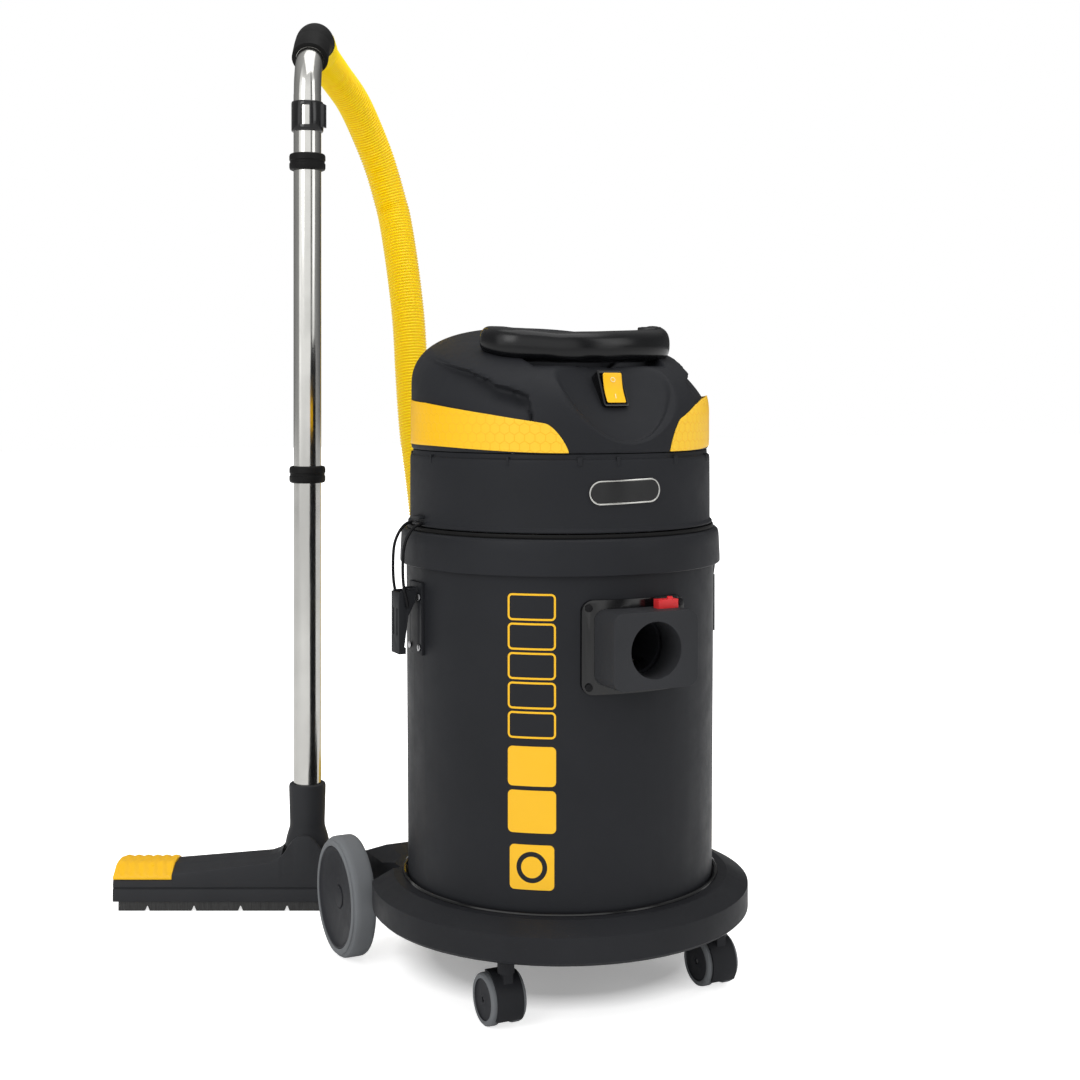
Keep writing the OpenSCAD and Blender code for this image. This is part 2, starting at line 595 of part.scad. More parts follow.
module face_on() translate([0, switch_y, switch_z]) rotate([atan(face_slope), 0, 0]) children();
frame_w = 36;
frame_l = 46;
rocker_w = 24;
rocker_l = 35;
module head_cover() color(black) at_origin() difference() {
    union() {
        dome_shell();
        at_screws() translate([0, 0, cover_z]) cylinder(r = cover_r - screw_r - 2, h = 36);
    }
    at_screws() translate([0, 0, cover_z - 1]) cylinder(d = 5.2, h = 30);
    for (s = [-1, 1]) flip(s) trim_piece(0.1);
    face_on() translate([0, 0, -20]) plate([frame_w - 3.8, frame_l - 3.8, 40], 2);
    face_on() plate([frame_w + 2 * touch, frame_l + 2 * touch, 30], 3);
    translate([-hollow_half, hollow_y, hollow_z]) rotate([90, 0, 90]) linear_extrude(2 * hollow_half) {
        circle(hollow_r);
        translate([-hollow_r, 0]) square([2 * hollow_r, 80]);
    }
}
module switch_frame() color(rubber) at_origin() face_on() difference() {
    union() {
        plate([frame_w, frame_l, 3.5], 3);
        translate([0, 0, -14]) plate([frame_w - 4, frame_l - 4, 14 + eps], 2);
    }
    translate([0, 0, -12]) plate([rocker_w + 2 * gap, rocker_l + 2.4, 20], 1);
    rotate([0, 90, 0]) cylinder(d = trunnion_d + 0.1, h = rocker_w + 5, center = true);
}
trunnion_d = 4;
module switch_rocker() color(yellow) at_origin() face_on() {
    rotate([6, 0, 0]) rotate([90, 0, 90]) linear_extrude(rocker_w, center = true)
        polygon([[-rocker_l / 2, 5.5], [0, 3], [rocker_l / 2, 5.5], [rocker_l / 2 - 2.5, -3], [0, -7],
            [2.5 - rocker_l / 2, -3]]);
    rotate([0, 90, 0]) cylinder(d = trunnion_d, h = rocker_w + 4, center = true);
}
module badge_plate() color(steel) at_origin() rotate([0, 0, -3]) intersection() {
    ring(ring_r + 2.6, ring_r + eps, ring_z, ring_h);
    translate([0, 0, ring_z + 43]) rotate([90, 0, 0]) plate([78, 28, dolly_r], 13.9);
}
grip_steps = 24;
handle_y = -28;
function grip_place(i) = let (t = 2 * i / grip_steps - 1, w = sign(t) * pow(abs(t), 0.9))
    [handle_half * sin(90 * w), handle_y - handle_bow * pow(cos(90 * w), 0.8),
        cover_z + handle_rise - 22 * pow(abs(w), 5)];
module carry_handle() color(rubber) at_origin() difference() {
    p = [for (i = [0:grip_steps]) grip_place(i)];
    solid_sweep(p, [0, 0, 1], 16, [for (q = p) grip_h / 2], [for (q = p) grip_t / 2]);
    dome_solid();
}
gland_x = 60;
gland_z = ring_z + 40;
gland_y = sqrt(ring_r * ring_r - gland_x * gland_x);
module cable_gland() color(rubber) at_origin() difference() {
    translate([gland_x, gland_y, gland_z]) rotate([-90, 0, 0]) {
        translate([0, 0, -12]) cylinder(d = 18, h = 14);
        translate([0, 0, -6]) cylinder(d = 28, h = 10);
        translate([0, 0, 4]) cylinder(d1 = 20, d2 = 15, h = 16);
    }
    difference() {
        translate([0, 0, ring_z]) cylinder(r = ring_r + 0.05, h = ring_h);
        translate([gland_x, ring_r + 10, gland_z]) rotate([90, 0, 0]) cylinder(d = 18.1, h = 60);
    }
    translate([gland_x, ring_r + 60, gland_z]) rotate([90, 0, 0]) cylinder(d = 9, h = 120);
}
shaft_d = 8;
web_z = deck_top + 30;
motor_top = deck_top + 130;
module motor_housing() color(grey) at_origin() {
    ring(motor_r, motor_r - 4, deck_top, motor_top - deck_top);
    ring(motor_r - 2, shaft_d / 2 + fit, web_z, 6);
    ring(motor_r - 2, shaft_d / 2 + fit, web_z + 50, 6);
    translate([0, 0, motor_top]) cylinder(r = motor_r, h = 3);
}
module impeller() color(steel) at_origin() {
    translate([0, 0, deck_top + 11]) cylinder(r = motor_r - 12, h = 2);
    ring(motor_r - 12, suction_r, deck_top + 25, 2);
    translate([0, 0, deck_top + 9]) cylinder(d = shaft_d, h = web_z + 55 - deck_top);
    for (a = [0:60:300]) rotate([0, 0, a]) translate([14, -1, deck_top + 12]) cube([motor_r - 28, 2, 14]);
}
flange_t = 3;
cage_z = ring_z - cage_h;
module filter_cage() color(black) at_origin() difference() {
    union() {
        ring(cage_r, cage_r - 3, cage_z, cage_h);
        ring(cage_r + 12, cage_r - 3, ring_z - flange_t, flange_t);
        translate([0, 0, cage_z]) cylinder(r = cage_r, h = 3);
    }
    for (a = [0:45:135]) rotate([0, 0, a]) translate([-cage_r - 5, -10, cage_z + 18])
        cube([2 * cage_r + 10, 20, cage_h - 50]);
}
module filter_cartridge() color(paper) at_origin()
    ring(filter_r, cage_r + 0.5, cage_z + 20, cage_h - 20 - flange_t);
module head_screws() color(steel) at_origin() at_screws() {
    translate([0, 0, cover_z - 5 - 3]) cylinder(d = 9, h = 3);
    translate([0, 0, cover_z - 5]) cylinder(d = 5, h = 32);
}
module float_ball() color(paper) at_origin() translate([0, 0, cage_z + 3 + gap + ball_d / 2]) sphere(d = ball_d);

// ---- Wand ----

bore_r = tube_d / 2 - tube_wall;
collar_half = 11;
tilt = 100;            // from the vertical at the elbow's far end
sleeve = 30;
sweep_r = 60;          // radius of the rubber elbow
ledge = 0.2;           // step where a bent run meets a straight one

// In the plane of the bend, +X points away from the machine
module in_bend() at_wand() rotate([0, 0, 90 - set_yaw]) children();
module arc_at(x, z, r, t0, t1) translate([x, 0, z]) rotate([90, 0, 0]) rotate([0, 0, 180 - t1])
    rotate_extrude(angle = t1 - t0) translate([r, 0]) children();
module tube_2d(r_out, r_in) difference() {
    circle(r_out);
    circle(r_in);
}
module wand_tube_lower() color(steel) at_wand() ring(tube_d / 2, bore_r, tube_z, collar_low_z - tube_z);
module wand_tube_middle() color(steel) at_wand() ring(tube_d / 2, bore_r, collar_low_z, collar_high_z - collar_low_z);
bend_x = bend_r * (1 - cos(bend_angle));
bend_top = bend_z + bend_r * sin(bend_angle);
module wand_tube_upper() color(steel) {
    at_wand() ring(tube_d / 2, bore_r, collar_high_z, bend_z - collar_high_z);
    in_bend() {
        arc_at(bend_r, bend_z, bend_r, -1, bend_angle + 1) tube_2d(tube_d / 2 - ledge, bore_r + ledge);
        translate([bend_x, 0, bend_top]) rotate([0, bend_angle, 0]) ring(tube_d / 2, bore_r, 0, sleeve - 4);
    }
}
module wand_collar(z) color(rubber) at_wand() translate([0, 0, z - collar_half]) rotate_extrude()
    polygon([[tube_d / 2 + fit, 0], [tube_d / 2 + 3.5, 0], [tube_d / 2 + 5.5, 3], [tube_d / 2 + 5.5, 9.5],
        [tube_d / 2 + 4.7, 10], [tube_d / 2 + 4.7, 12], [tube_d / 2 + 5.5, 12.5], [tube_d / 2 + 5.5, 19],
        [tube_d / 2 + 3.5, 22], [tube_d / 2 + fit, 22]]);
sleeve_x = bend_x + sleeve * sin(bend_angle);
sleeve_z = bend_top + sleeve * cos(bend_angle);
module wand_elbow() color(rubber) in_bend() {
    translate([bend_x, 0, bend_top]) rotate([0, bend_angle, 0]) {
        ring(elbow_d / 2, tube_d / 2 + fit, 0, sleeve - 4);
        ring(elbow_d / 2, bore_r, sleeve - 4, 4);
    }
    arc_at(sleeve_x + sweep_r * cos(bend_angle), sleeve_z - sweep_r * sin(bend_angle), sweep_r, bend_angle - 1, tilt)
        tube_2d(elbow_d / 2 - ledge, bore_r + ledge);
}
valve_z = 1027;
module air_valve_ring() color(rubber) at_wand() difference() {
    union() {
        translate([0, 0, valve_z - 19.5]) rotate_extrude() polygon([[tube_d / 2 + gap, 0], [tube_d / 2 + 2, 0],
            [tube_d / 2 + 2.8, 2], [tube_d / 2 + 2.8, 37], [tube_d / 2 + 2, 39], [tube_d / 2 + gap, 39]]);
        rotate([0, 0, -set_yaw - 10]) translate([tube_d / 2 + 1, -6, valve_z - 14]) cube([5, 12, 30]);
    }
    rotate([0, 0, -set_yaw - 90]) translate([tube_d / 2 - 3, -6, valve_z - 12]) cube([8, 12, 26]);
}

// ---- Hose ----

// Route from the drum axis, as the hose lies; its first stretch runs straight out of the elbow
exit_x = sleeve_x + sweep_r * (cos(bend_angle) - cos(tilt));
exit_z = sleeve_z + sweep_r * (sin(tilt) - sin(bend_angle));
heading = 90 - set_yaw;
exit_dir = [sin(tilt) * cos(heading), sin(tilt) * sin(heading), cos(tilt)];
exit = [wand_x + exit_x * cos(heading), wand_y + exit_x * sin(heading), exit_z];
hose_route = [
    [-95, 526, 1118], [-58, 555, 1089], [-28, 577, 1050], [-3, 589, 1003], [13, 589, 952],
    [19, 583, 920], [24, 566, 850], [27, 549, 770], [26, 534, 690], [26, 518, 610], [30, 501, 530],
    [32, 484, 450], [28, 472, 370], [26, 467, 290], [26, 466, 220], [42, 458, 134], [87, 436, 69],
    [152, 404, 32], [200, 381, 26], [270, 364, 25], [345, 375, 25], [409, 414, 25], [453, 476, 25],
    [470, 550, 25], [456, 625, 25], [414, 688, 25], [351, 730, 25]];
hose_end = [250, 752, 30];
hose_end_dir = unit([-96, 20, 0]);
straight = 24.5;
route = concat([for (k = [0:2]) exit + k * straight * exit_dir], hose_route,
    [for (k = [2:-1:0]) hose_end - k * straight * hose_end_dir]);
bore_steps = 110;
hose_curve = spline(route, 10);
hose_length = sums(hose_curve)[len(hose_curve) - 1];
echo(hose_length = hose_length, shift_x = shift_x, shift_y = shift_y, exit = exit);
// A crest and a valley for each rib, between two plain ends
function rib_r(j, count) = j < 4 || j > count - 4 ? hose_d / 2 - 1.2 : hose_d / 2 - (j % 2 == 0 ? 0 : 2.4);

module hose() color(yellow) at_origin() {
    count = 2 * hose_ribs;
    outer = places(hose_curve, count);
    inner = places(hose_curve, bore_steps);
    size = [for (j = [0:count]) rib_r(j, count)];
    bore = [for (j = [0:bore_steps]) hose_bore / 2];
    sides = 8;
    n = len(outer) * sides;
    m = len(inner) * sides;
    polyhedron(concat(flat(rings(outer, [0, 1, 0], sides, size, size)),
            flat(rings(inner, [0, 1, 0], sides, bore, bore))),
        concat(inward(walls(0, count + 1, sides)), walls(n, bore_steps + 1, sides),
            [for (k = [0:sides - 1]) let (q = (k + 1) % sides) each [[k, q, n + q], [k, n + q, n + k]]],
            [for (k = [0:sides - 1]) let (q = (k + 1) % sides, a = n - sides, b = n + m - sides)
                each [[a + q, a + k, b + k], [a + q, b + k, b + q]]]), convexity = 12);
}
cuff_len = 95;
module hose_cuff() color(rubber) at_origin() translate(hose_end)
    rotate([0, 90, atan2(hose_end_dir[1], hose_end_dir[0])]) {
        ring(inlet_r - 3, hose_bore / 2, 0, 38);
        ring(inlet_r - fit, inlet_r - 4, 37, cuff_len - 37);
    }

// ---- Floor tool ----

neck_z = 62;
ball_r = 27;
ball_half = 28;
skirt_z = bristle_h + skirt_h;
body_top = 56;
module along_tool(u0, u1) translate([u0, 0, 0]) rotate([90, 0, 90]) linear_extrude(u1 - u0) children();
module tool_outline(top, lean) let (d = tool_depth / 2)
    polygon([[-d, bristle_h], [d, bristle_h], [d, skirt_z - 1], [d - 1.5, skirt_z], [d, skirt_z + 1],
        [d, skirt_z + 6], [d - lean, top], [lean - d, top], [-d, skirt_z + 6], [-d, skirt_z + 1],
        [1.5 - d, skirt_z], [-d, skirt_z - 1]]);
module tool_body() color(black) at_tool() difference() {
    union() {
        along_tool(end_cap_len + 0.1 - tool_len / 2, tool_len / 2 - end_cap_len - 0.1) tool_outline(body_top - 4, 12);
        for (s = [-1, 1]) {
            translate([s > 0 ? tool_len / 2 - end_cap_len - 1 : -tool_len / 2, -tool_depth / 2, bristle_h])
                cube([end_cap_len + 1, tool_depth, skirt_h - 0.1]);
            // cheeks that hold the neck
            translate([s > 0 ? ball_half + gap : -ball_half - gap - 6, 0, neck_z]) rotate([0, 90, 0])
                cylinder(r = 30, h = 6);
            // shoulders that rise to the neck
            translate([0, 18, 0]) rotate([90, 0, 0]) linear_extrude(36)
                polygon([[s * (ball_half + 6), 40], [s * (ball_half + 6), neck_z + 22], [s * (ball_half + 24), neck_z + 6],
                    [s * 120, body_top - 3], [s * 120, 40]]);
        }
    }
    // seat of the neck, with room for it to swing forward
    translate([-ball_half - gap, 0, neck_z]) rotate([0, 90, 0]) cylinder(r = ball_r + gap, h = 2 * (ball_half + gap));
    translate([-ball_half - gap, 0, neck_z - 24]) cube([2 * (ball_half + gap), tool_depth, 80]);
    translate([-ball_half - gap, -tool_depth, neck_z - 8]) cube([2 * (ball_half + gap), tool_depth, 80]);
    // pivot pins of the neck
    translate([-ball_half - 5, 0, neck_z]) rotate([0, 90, 0]) cylinder(d = 10.1, h = 2 * ball_half + 10);
    // suction mouth and its throat
    translate([-tool_len / 2 + 30, -14, bristle_h - 1]) cube([tool_len - 60, 28, skirt_h + 3]);
    translate([0, 0, bristle_h]) cylinder(r = 17, h = 60);
    for (s = [-1, 1]) translate([-tool_len / 2 + 5, s * brush_y - brush_t / 2 - 0.05, bristle_h - 1])
        cube([tool_len - 10, brush_t + 0.1, brush_root + 1]);
}
brush_y = tool_depth / 2 - 6;
brush_t = 6;
brush_root = 8;
module tool_brush(s) color(rubber) at_tool() translate([-tool_len / 2 + 5.2, s * brush_y - brush_t / 2, 0])
    cube([tool_len - 10.4, brush_t, bristle_h + brush_root - 0.2]);
module tool_cap(s) color(yellow) at_tool() flip(s)
    along_tool(tool_len / 2 - end_cap_len, tool_len / 2) tool_outline_top();
module tool_outline_top() intersection() {
    tool_outline(body_top, 10);
    translate([-tool_depth, skirt_z]) square([2 * tool_depth, 80]);
}
module tool_neck() color(black) at_tool() difference() {
    union() {
        translate([-ball_half, 0, neck_z]) rotate([0, 90, 0]) cylinder(r = ball_r, h = 2 * ball_half);
        translate([-ball_half - 4.5, 0, neck_z]) rotate([0, 90, 0]) cylinder(d = 10, h = 2 * ball_half + 9);
        translate([0, 0, neck_z]) cylinder(r = 24, h = tube_z + 24 - neck_z);
    }
    translate([0, 0, tube_z]) cylinder(d = tube_d + 2 * fit, h = 60);
    translate([0, 0, neck_z - ball_r - 1]) cylinder(r = 15, h = 120);
}

dolly_base();
rear_axle();
tank();
rim_band();
rim_seal();
inlet_plate();
inlet_block();
inlet_screws();
inlet_elbow();
latch_bracket("left");  // latch_bracket_left
latch_bracket("right");  // latch_bracket_right
latch_rivets();
rear_hub("left");  // rear_hub_left
rear_hub("right");  // rear_hub_right
rear_tyre("left");  // rear_tyre_left
rear_tyre("right");  // rear_tyre_right
castor_hood("left");  // castor_hood_left
castor_hood("right");  // castor_hood_right
castor_axle("left");  // castor_axle_left
castor_axle("right");  // castor_axle_right
castor_wheel("left", -1);  // castor_wheel_left_a
castor_wheel("left", 1);  // castor_wheel_left_b
castor_wheel("right", -1);  // castor_wheel_right_a
castor_wheel("right", 1);  // castor_wheel_right_b
latch_lever("left");  // latch_lever_left
latch_lever("right");  // latch_lever_right
latch_bail("left");  // latch_bail_left
latch_bail("right");  // latch_bail_right
head_ring();
head_cover();
trim("left");  // trim_left
trim("right");  // trim_right
badge_plate();
carry_handle();
switch_frame();
cable_gland();
motor_housing();
filter_cage();
filter_cartridge();
head_screws();
switch_rocker();
impeller();
float_ball();
inlet_button();
wand_tube_lower();
wand_tube_middle();
wand_tube_upper();
wand_collar(collar_low_z);  // wand_collar_lower
wand_collar(collar_high_z);  // wand_collar_upper
wand_elbow();
air_valve_ring();
hose();
hose_cuff();
tool_neck();
tool_body();
tool_cap(-1);  // tool_cap_left
tool_cap(1);  // tool_cap_right
tool_brush(-1);  // tool_brush_front
tool_brush(1);  // tool_brush_rear
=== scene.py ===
"""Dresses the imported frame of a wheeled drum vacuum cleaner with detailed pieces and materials."""

import json
import math

import bmesh
import bpy
from bpy.props import FloatProperty, FloatVectorProperty, IntProperty, PointerProperty
from mathutils import Matrix, Vector


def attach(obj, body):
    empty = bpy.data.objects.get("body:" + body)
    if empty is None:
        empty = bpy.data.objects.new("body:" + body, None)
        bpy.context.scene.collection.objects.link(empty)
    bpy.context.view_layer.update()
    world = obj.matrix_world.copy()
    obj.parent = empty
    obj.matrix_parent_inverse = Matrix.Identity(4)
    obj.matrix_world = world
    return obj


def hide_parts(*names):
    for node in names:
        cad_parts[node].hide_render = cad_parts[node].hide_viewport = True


bl_info = {
    "name": "Drum Vacuum Cleaner",
    "version": (1, 0, 0),
    "blender": (4, 5, 0),
    "location": "View3D > Sidebar > Vacuum",
    "description": "Builds a drum vacuum cleaner with its wand, hose and floor tool",
    "category": "Object",
}

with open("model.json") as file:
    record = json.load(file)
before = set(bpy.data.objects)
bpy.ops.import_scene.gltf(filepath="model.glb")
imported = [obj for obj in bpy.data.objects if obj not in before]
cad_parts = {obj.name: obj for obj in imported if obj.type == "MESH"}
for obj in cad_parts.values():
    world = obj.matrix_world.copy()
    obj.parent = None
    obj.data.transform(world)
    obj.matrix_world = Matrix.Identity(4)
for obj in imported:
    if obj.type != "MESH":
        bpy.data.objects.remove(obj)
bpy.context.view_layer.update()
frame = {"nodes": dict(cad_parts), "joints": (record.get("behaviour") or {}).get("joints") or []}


def joint_place(name):
    """Where a joint of the frame sits, in metres."""
    return Vector(next(j["pos_m"] for j in frame["joints"] if j["name"] == name))


# The pieces are shaped in millimetres round their own axis and set down in the frame at the end
DRUM_AXIS = joint_place("impeller_spin")
DRUM_AXIS.z = 0
WAND_AXIS = joint_place("wand_lift")
WAND_AXIS.z = 0
SET_YAW = math.radians(26)
MM = Matrix.Scale(0.001, 4)
AT_DRUM = Matrix.Translation(DRUM_AXIS) @ MM
AT_WAND = Matrix.Translation(WAND_AXIS) @ MM
AT_TOOL = Matrix.Translation(WAND_AXIS) @ Matrix.Rotation(-SET_YAW, 4, "Z") @ MM
AT_FACE = (Matrix.Translation(joint_place("switch_tilt"))
           @ Matrix.Rotation(math.radians(65), 4, "X") @ MM)

COVER_Z = 604.0
COVER_R = 172.0
SIDES = (("left", -1), ("right", 1))


# ---------------------------------------------------------------- sizes and colours

def colour_prop(name, value, text):
    return FloatVectorProperty(name=name, description=text, default=value, subtype="COLOR",
                               size=3, min=0, max=1)


class VacuumColours(bpy.types.PropertyGroup):
    body: colour_prop("Body", (0.0185, 0.0194, 0.0222), "Satin black plastic of drum and head")
    dolly: colour_prop("Dolly", (0.0190, 0.0197, 0.0222), "Grained black plastic of the dolly")
    fittings: colour_prop("Fittings", (0.032, 0.033, 0.036), "Dark grey of the inlet and the tool")
    grip: colour_prop("Grip", (0.0035, 0.0037, 0.0043), "Glossy black of the handle")
    soft: colour_prop("Soft parts", (0.0085, 0.0085, 0.0085), "Black rubber of collars and elbow")
    wheel: colour_prop("Wheels", (0.165, 0.173, 0.182), "Grey of the rear tyres")
    dish: colour_prop("Wheel dishes", (0.025, 0.026, 0.030), "Dark grey of hubs and castors")
    yellow: colour_prop("Yellow", (0.95, 0.52, 0.003), "Trim, switch and tool ends")
    hose: colour_prop("Hose", (1.0, 0.70, 0.002), "Ribbed hose")
    red: colour_prop("Red", (0.74, 0.03, 0.035), "Inlet button")
    bright: colour_prop("Bright metal", (0.56, 0.555, 0.53), "Chromed tubes")


class VacuumSizes(bpy.types.PropertyGroup):
    rib_pitch: FloatProperty(name="Rib pitch", description="Distance between two ribs of the hose",
                             default=0.0043, min=0.003, max=0.01, unit="LENGTH")
    rib_height: FloatProperty(name="Rib height", description="Height of a rib over the valley",
                              default=0.0017, min=0.0005, max=0.004, unit="LENGTH")
    hose_width: FloatProperty(name="Hose width", description="Outer diameter over the ribs",
                              default=0.049, min=0.03, max=0.06, unit="LENGTH")
    hexagon: FloatProperty(name="Hexagon", description="Width of a hexagon on the yellow trim",
                           default=0.0112, min=0.005, max=0.03, unit="LENGTH")
    sides: IntProperty(name="Sides", description="Sides of the large turned pieces",
                       default=128, min=32, max=256)


def colours():
    return bpy.context.scene.vacuum_colours


def sizes():
    return bpy.context.scene.vacuum_sizes


# ---------------------------------------------------------------- shader helpers

class Net:
    """Adds nodes to a tree; an input may be given a value or another node's socket."""

    def __init__(self, tree):
        self.tree = tree
        self.count = 0

    def add(self, kind, **given):
        node = self.tree.nodes.new(kind)
        node.location = (-1400 + 190 * (self.count % 8), 400 - 260 * (self.count // 8))
        self.count += 1
        sockets = given.pop("ins", {})
        for key, value in given.items():
            setattr(node, key, value)
        for key, value in sockets.items():
            socket = node.inputs[key]
            if isinstance(value, bpy.types.NodeSocket):
                self.tree.links.new(value, socket)
            else:
                socket.default_value = value
        return node

    def math(self, operation, a, b=0.0, c=0.0):
        return self.add("ShaderNodeMath", operation=operation, ins={0: a, 1: b, 2: c}).outputs[0]

    def vector(self, operation, a, b=(0.0, 0.0, 0.0), out=0):
        return self.add("ShaderNodeVectorMath", operation=operation, ins={0: a, 1: b}).outputs[out]

    def ramp(self, value, low, high, bottom=0.0, top=1.0):
        return self.add("ShaderNodeMapRange", ins={
            "Value": value, "From Min": low, "From Max": high, "To Min": bottom, "To Max": top,
        }).outputs[0]

    def mix(self, factor, a, b):
        return self.add("ShaderNodeMix", data_type="RGBA", ins={0: factor, 6: a, 7: b}).outputs[2]

    def place(self):
        return self.add("ShaderNodeTexCoord").outputs["Object"]

    def parts(self, vector):
        return self.add("ShaderNodeSeparateXYZ", ins={0: vector}).outputs

    def noise(self, vector, scale, detail=2.0, **more):
        return self.add("ShaderNodeTexNoise", ins={
            "Vector": vector, "Scale": scale, "Detail": detail, **more}).outputs[0]

    def feed(self, values, sockets):
        """Links values to the sockets of their names."""
        for name, value in values.items():
            self.tree.links.new(value, sockets[name])

    def finish(self, shader, colour, roughness, height, strength, depth):
        """Gives a shader its colour and roughness and bumps it by a height; depth is in metres."""
        bump = self.add("ShaderNodeBump", ins={
            "Strength": strength, "Distance": depth, "Height": height})
        self.feed({"Base Color": colour, "Roughness": roughness, "Normal": bump.outputs[0]},
                  shader.inputs)


def new_group(name, ins, outs):
    """An empty shader group with (name, type, default) inputs and (name, type) outputs."""
    group = bpy.data.node_groups.new(name, "ShaderNodeTree")
    for label, kind, value in ins:
        socket = group.interface.new_socket(label, in_out="INPUT", socket_type="NodeSocket" + kind)
        socket.default_value = value
    for label, kind in outs:
        group.interface.new_socket(label, in_out="OUTPUT", socket_type="NodeSocket" + kind)
    net = Net(group)
    return group, net, net.add("NodeGroupInput").outputs, net.add("NodeGroupOutput").inputs


def moulded_surface():
    """Colour, roughness and height of moulded plastic, with grain, flow marks and handling."""
    group, net, ins, outs = new_group(
        "Moulded surface",
        [("Tone", "Color", (0.03, 0.03, 0.03, 1)), ("Roughness", "Float", 0.45),
         ("Grain size", "Float", 900.0), ("Unevenness", "Float", 0.12), ("Wear", "Float", 0.25)],
        [("Color", "Color"), ("Roughness", "Float"), ("Height", "Float")])
    place = net.place()
    grain = net.noise(place, ins["Grain size"], Roughness=0.6)
    flow = net.noise(place, 9.0, 3.0, Roughness=0.55)
    rubbed = net.noise(place, 38.0, 5.0, Roughness=0.7)
    stretched = net.vector("MULTIPLY", place, (140.0, 140.0, 900.0))
    hairs = net.noise(stretched, 1.0, 1.0, Distortion=1.2)
    scratch = net.math("MULTIPLY", net.ramp(hairs, 0.70, 0.78), net.ramp(rubbed, 0.52, 0.66))
    scratch = net.math("MULTIPLY", scratch, ins["Wear"])
    shade = net.math("MULTIPLY_ADD", net.ramp(flow, 0.3, 0.7, -1.0, 1.0), ins["Unevenness"], 1.0)
    tone = net.vector("SCALE", ins["Tone"])
    net.feed({"Scale": shade}, tone.node.inputs)
    rough = net.math("MULTIPLY_ADD", net.ramp(rubbed, 0.3, 0.7, -1.0, 1.0), 0.06, ins["Roughness"])
    rough = net.math("MULTIPLY_ADD", net.ramp(flow, 0.3, 0.7, -1.0, 1.0), 0.03, rough)
    net.feed({"Color": net.mix(scratch, tone, (0.09, 0.09, 0.095, 1)),
              "Roughness": net.math("MAXIMUM", rough, 0.05),
              "Height": net.math("SUBTRACT", grain, net.math("MULTIPLY", scratch, 0.5))}, outs)
    return group


def hexagon_net():
    """Lines of a net of hexagons wrapped round the drum axis, 1 on a line, and a mask of the front
    for a painted light.
    """
    group, net, ins, outs = new_group(
        "Hexagon net", [("Width", "Float", 0.0135), ("Line", "Float", 0.05)],
        [("Line", "Float"), ("Fade", "Float")])
    x, y, z = net.parts(net.vector("SUBTRACT", net.place(), DRUM_AXIS))
    turn = net.math("ARCTAN2", x, net.math("MULTIPLY", y, -1.0))
    along = net.math("DIVIDE", net.math("MULTIPLY", turn, COVER_R / 1000), ins["Width"])
    up = net.math("DIVIDE", z, ins["Width"])
    cell = net.add("ShaderNodeCombineXYZ", ins={0: along, 1: up}).outputs[0]
    step, half = (1.0, 1.7320508, 1.0), (0.5, 0.8660254, 0.0)
    reach = []
    for shift in ((100.0, 173.20508, 0.0), (100.5, 174.0711, 0.0)):
        moved = net.vector("MODULO", net.vector("ADD", cell, shift), step)
        near = net.vector("ABSOLUTE", net.vector("SUBTRACT", moved, half))
        slant = net.vector("DOT_PRODUCT", near, half, out=1)
        reach.append(net.math("MAXIMUM", slant, net.parts(near)[0]))
    inner = net.math("MINIMUM", *reach)
    edge = net.math("SUBTRACT", 0.5, ins["Line"])
    # The second output is 1 within about 43 degrees of the front and 0 beyond 77 degrees; it places
    # the trim's painted front light
    off_front = net.math("ABSOLUTE", net.math("ADD", turn, 0.05))
    net.feed({"Line": net.ramp(inner, edge, 0.5), "Fade": net.ramp(off_front, 1.35, 0.75)}, outs)
    return group


def principled(name, ins):
    """The net and the Principled shader of a new material."""
    material = bpy.data.materials.new(name)
    material.use_nodes = True
    material.node_tree.nodes.clear()
    net = Net(material.node_tree)
    out = net.add("ShaderNodeOutputMaterial")
    shader = net.add("ShaderNodeBsdfPrincipled", ins=ins)
    net.tree.links.new(shader.outputs[0], out.inputs[0])
    return net, shader


def moulded(net, tone, roughness, grain, uneven, wear):
    """A moulded surface placed in a material with its own values."""
    group = bpy.data.node_groups.get("Moulded surface") or moulded_surface()
    return net.add("ShaderNodeGroup", node_tree=group, ins={
        "Tone": (*tone, 1), "Roughness": roughness, "Grain size": grain, "Unevenness": uneven,
        "Wear": wear}).outputs


def plastic(name, tone, roughness, grain=900.0, depth=0.02, uneven=0.12, wear=0.25, **more):
    """Moulded plastic or rubber; depth is the grain's height in millimetres."""
    net, shader = principled(name, {"IOR": 1.48, **more})
    surface = moulded(net, tone, roughness, grain, uneven, wear)
    net.finish(shader, surface["Color"], surface["Roughness"], surface["Height"], 0.6, depth / 1000)


def honeycomb_plastic(name, tone):
    """Yellow moulded plastic with a faint net of hexagons pressed into it, and a painted pale light
    on the front of the head.
    """
    net, shader = principled(name, {"IOR": 1.48, "Specular IOR Level": 0.14})
    surface = moulded(net, tone, 0.34, 700.0, 0.04, 0.0)
    cells = net.add("ShaderNodeGroup", node_tree=hexagon_net(), ins={
        "Width": sizes().hexagon, "Line": 0.07}).outputs
    # Painted light: the yellow is paled towards (0.96, 0.60, 0.05) on the front of the head, and the
    # hexagon lines are drawn darker there than on the sides
    pale = net.mix(net.math("MULTIPLY", cells["Fade"], 0.85), surface["Color"],
                   (0.96, 0.60, 0.050, 1))
    dark = net.math("MULTIPLY", cells["Line"], net.ramp(cells["Fade"], 0, 1, 0.12, 0.9))
    colour = net.mix(dark, pale, (tone[0] * 0.97, tone[1] * 0.90, 0.02, 1))
    height = net.math("MULTIPLY_ADD", cells["Line"], -1.0,
                      net.math("MULTIPLY", surface["Height"], 0.06))
    net.finish(shader, colour, surface["Roughness"], height, 0.5, 0.0004)


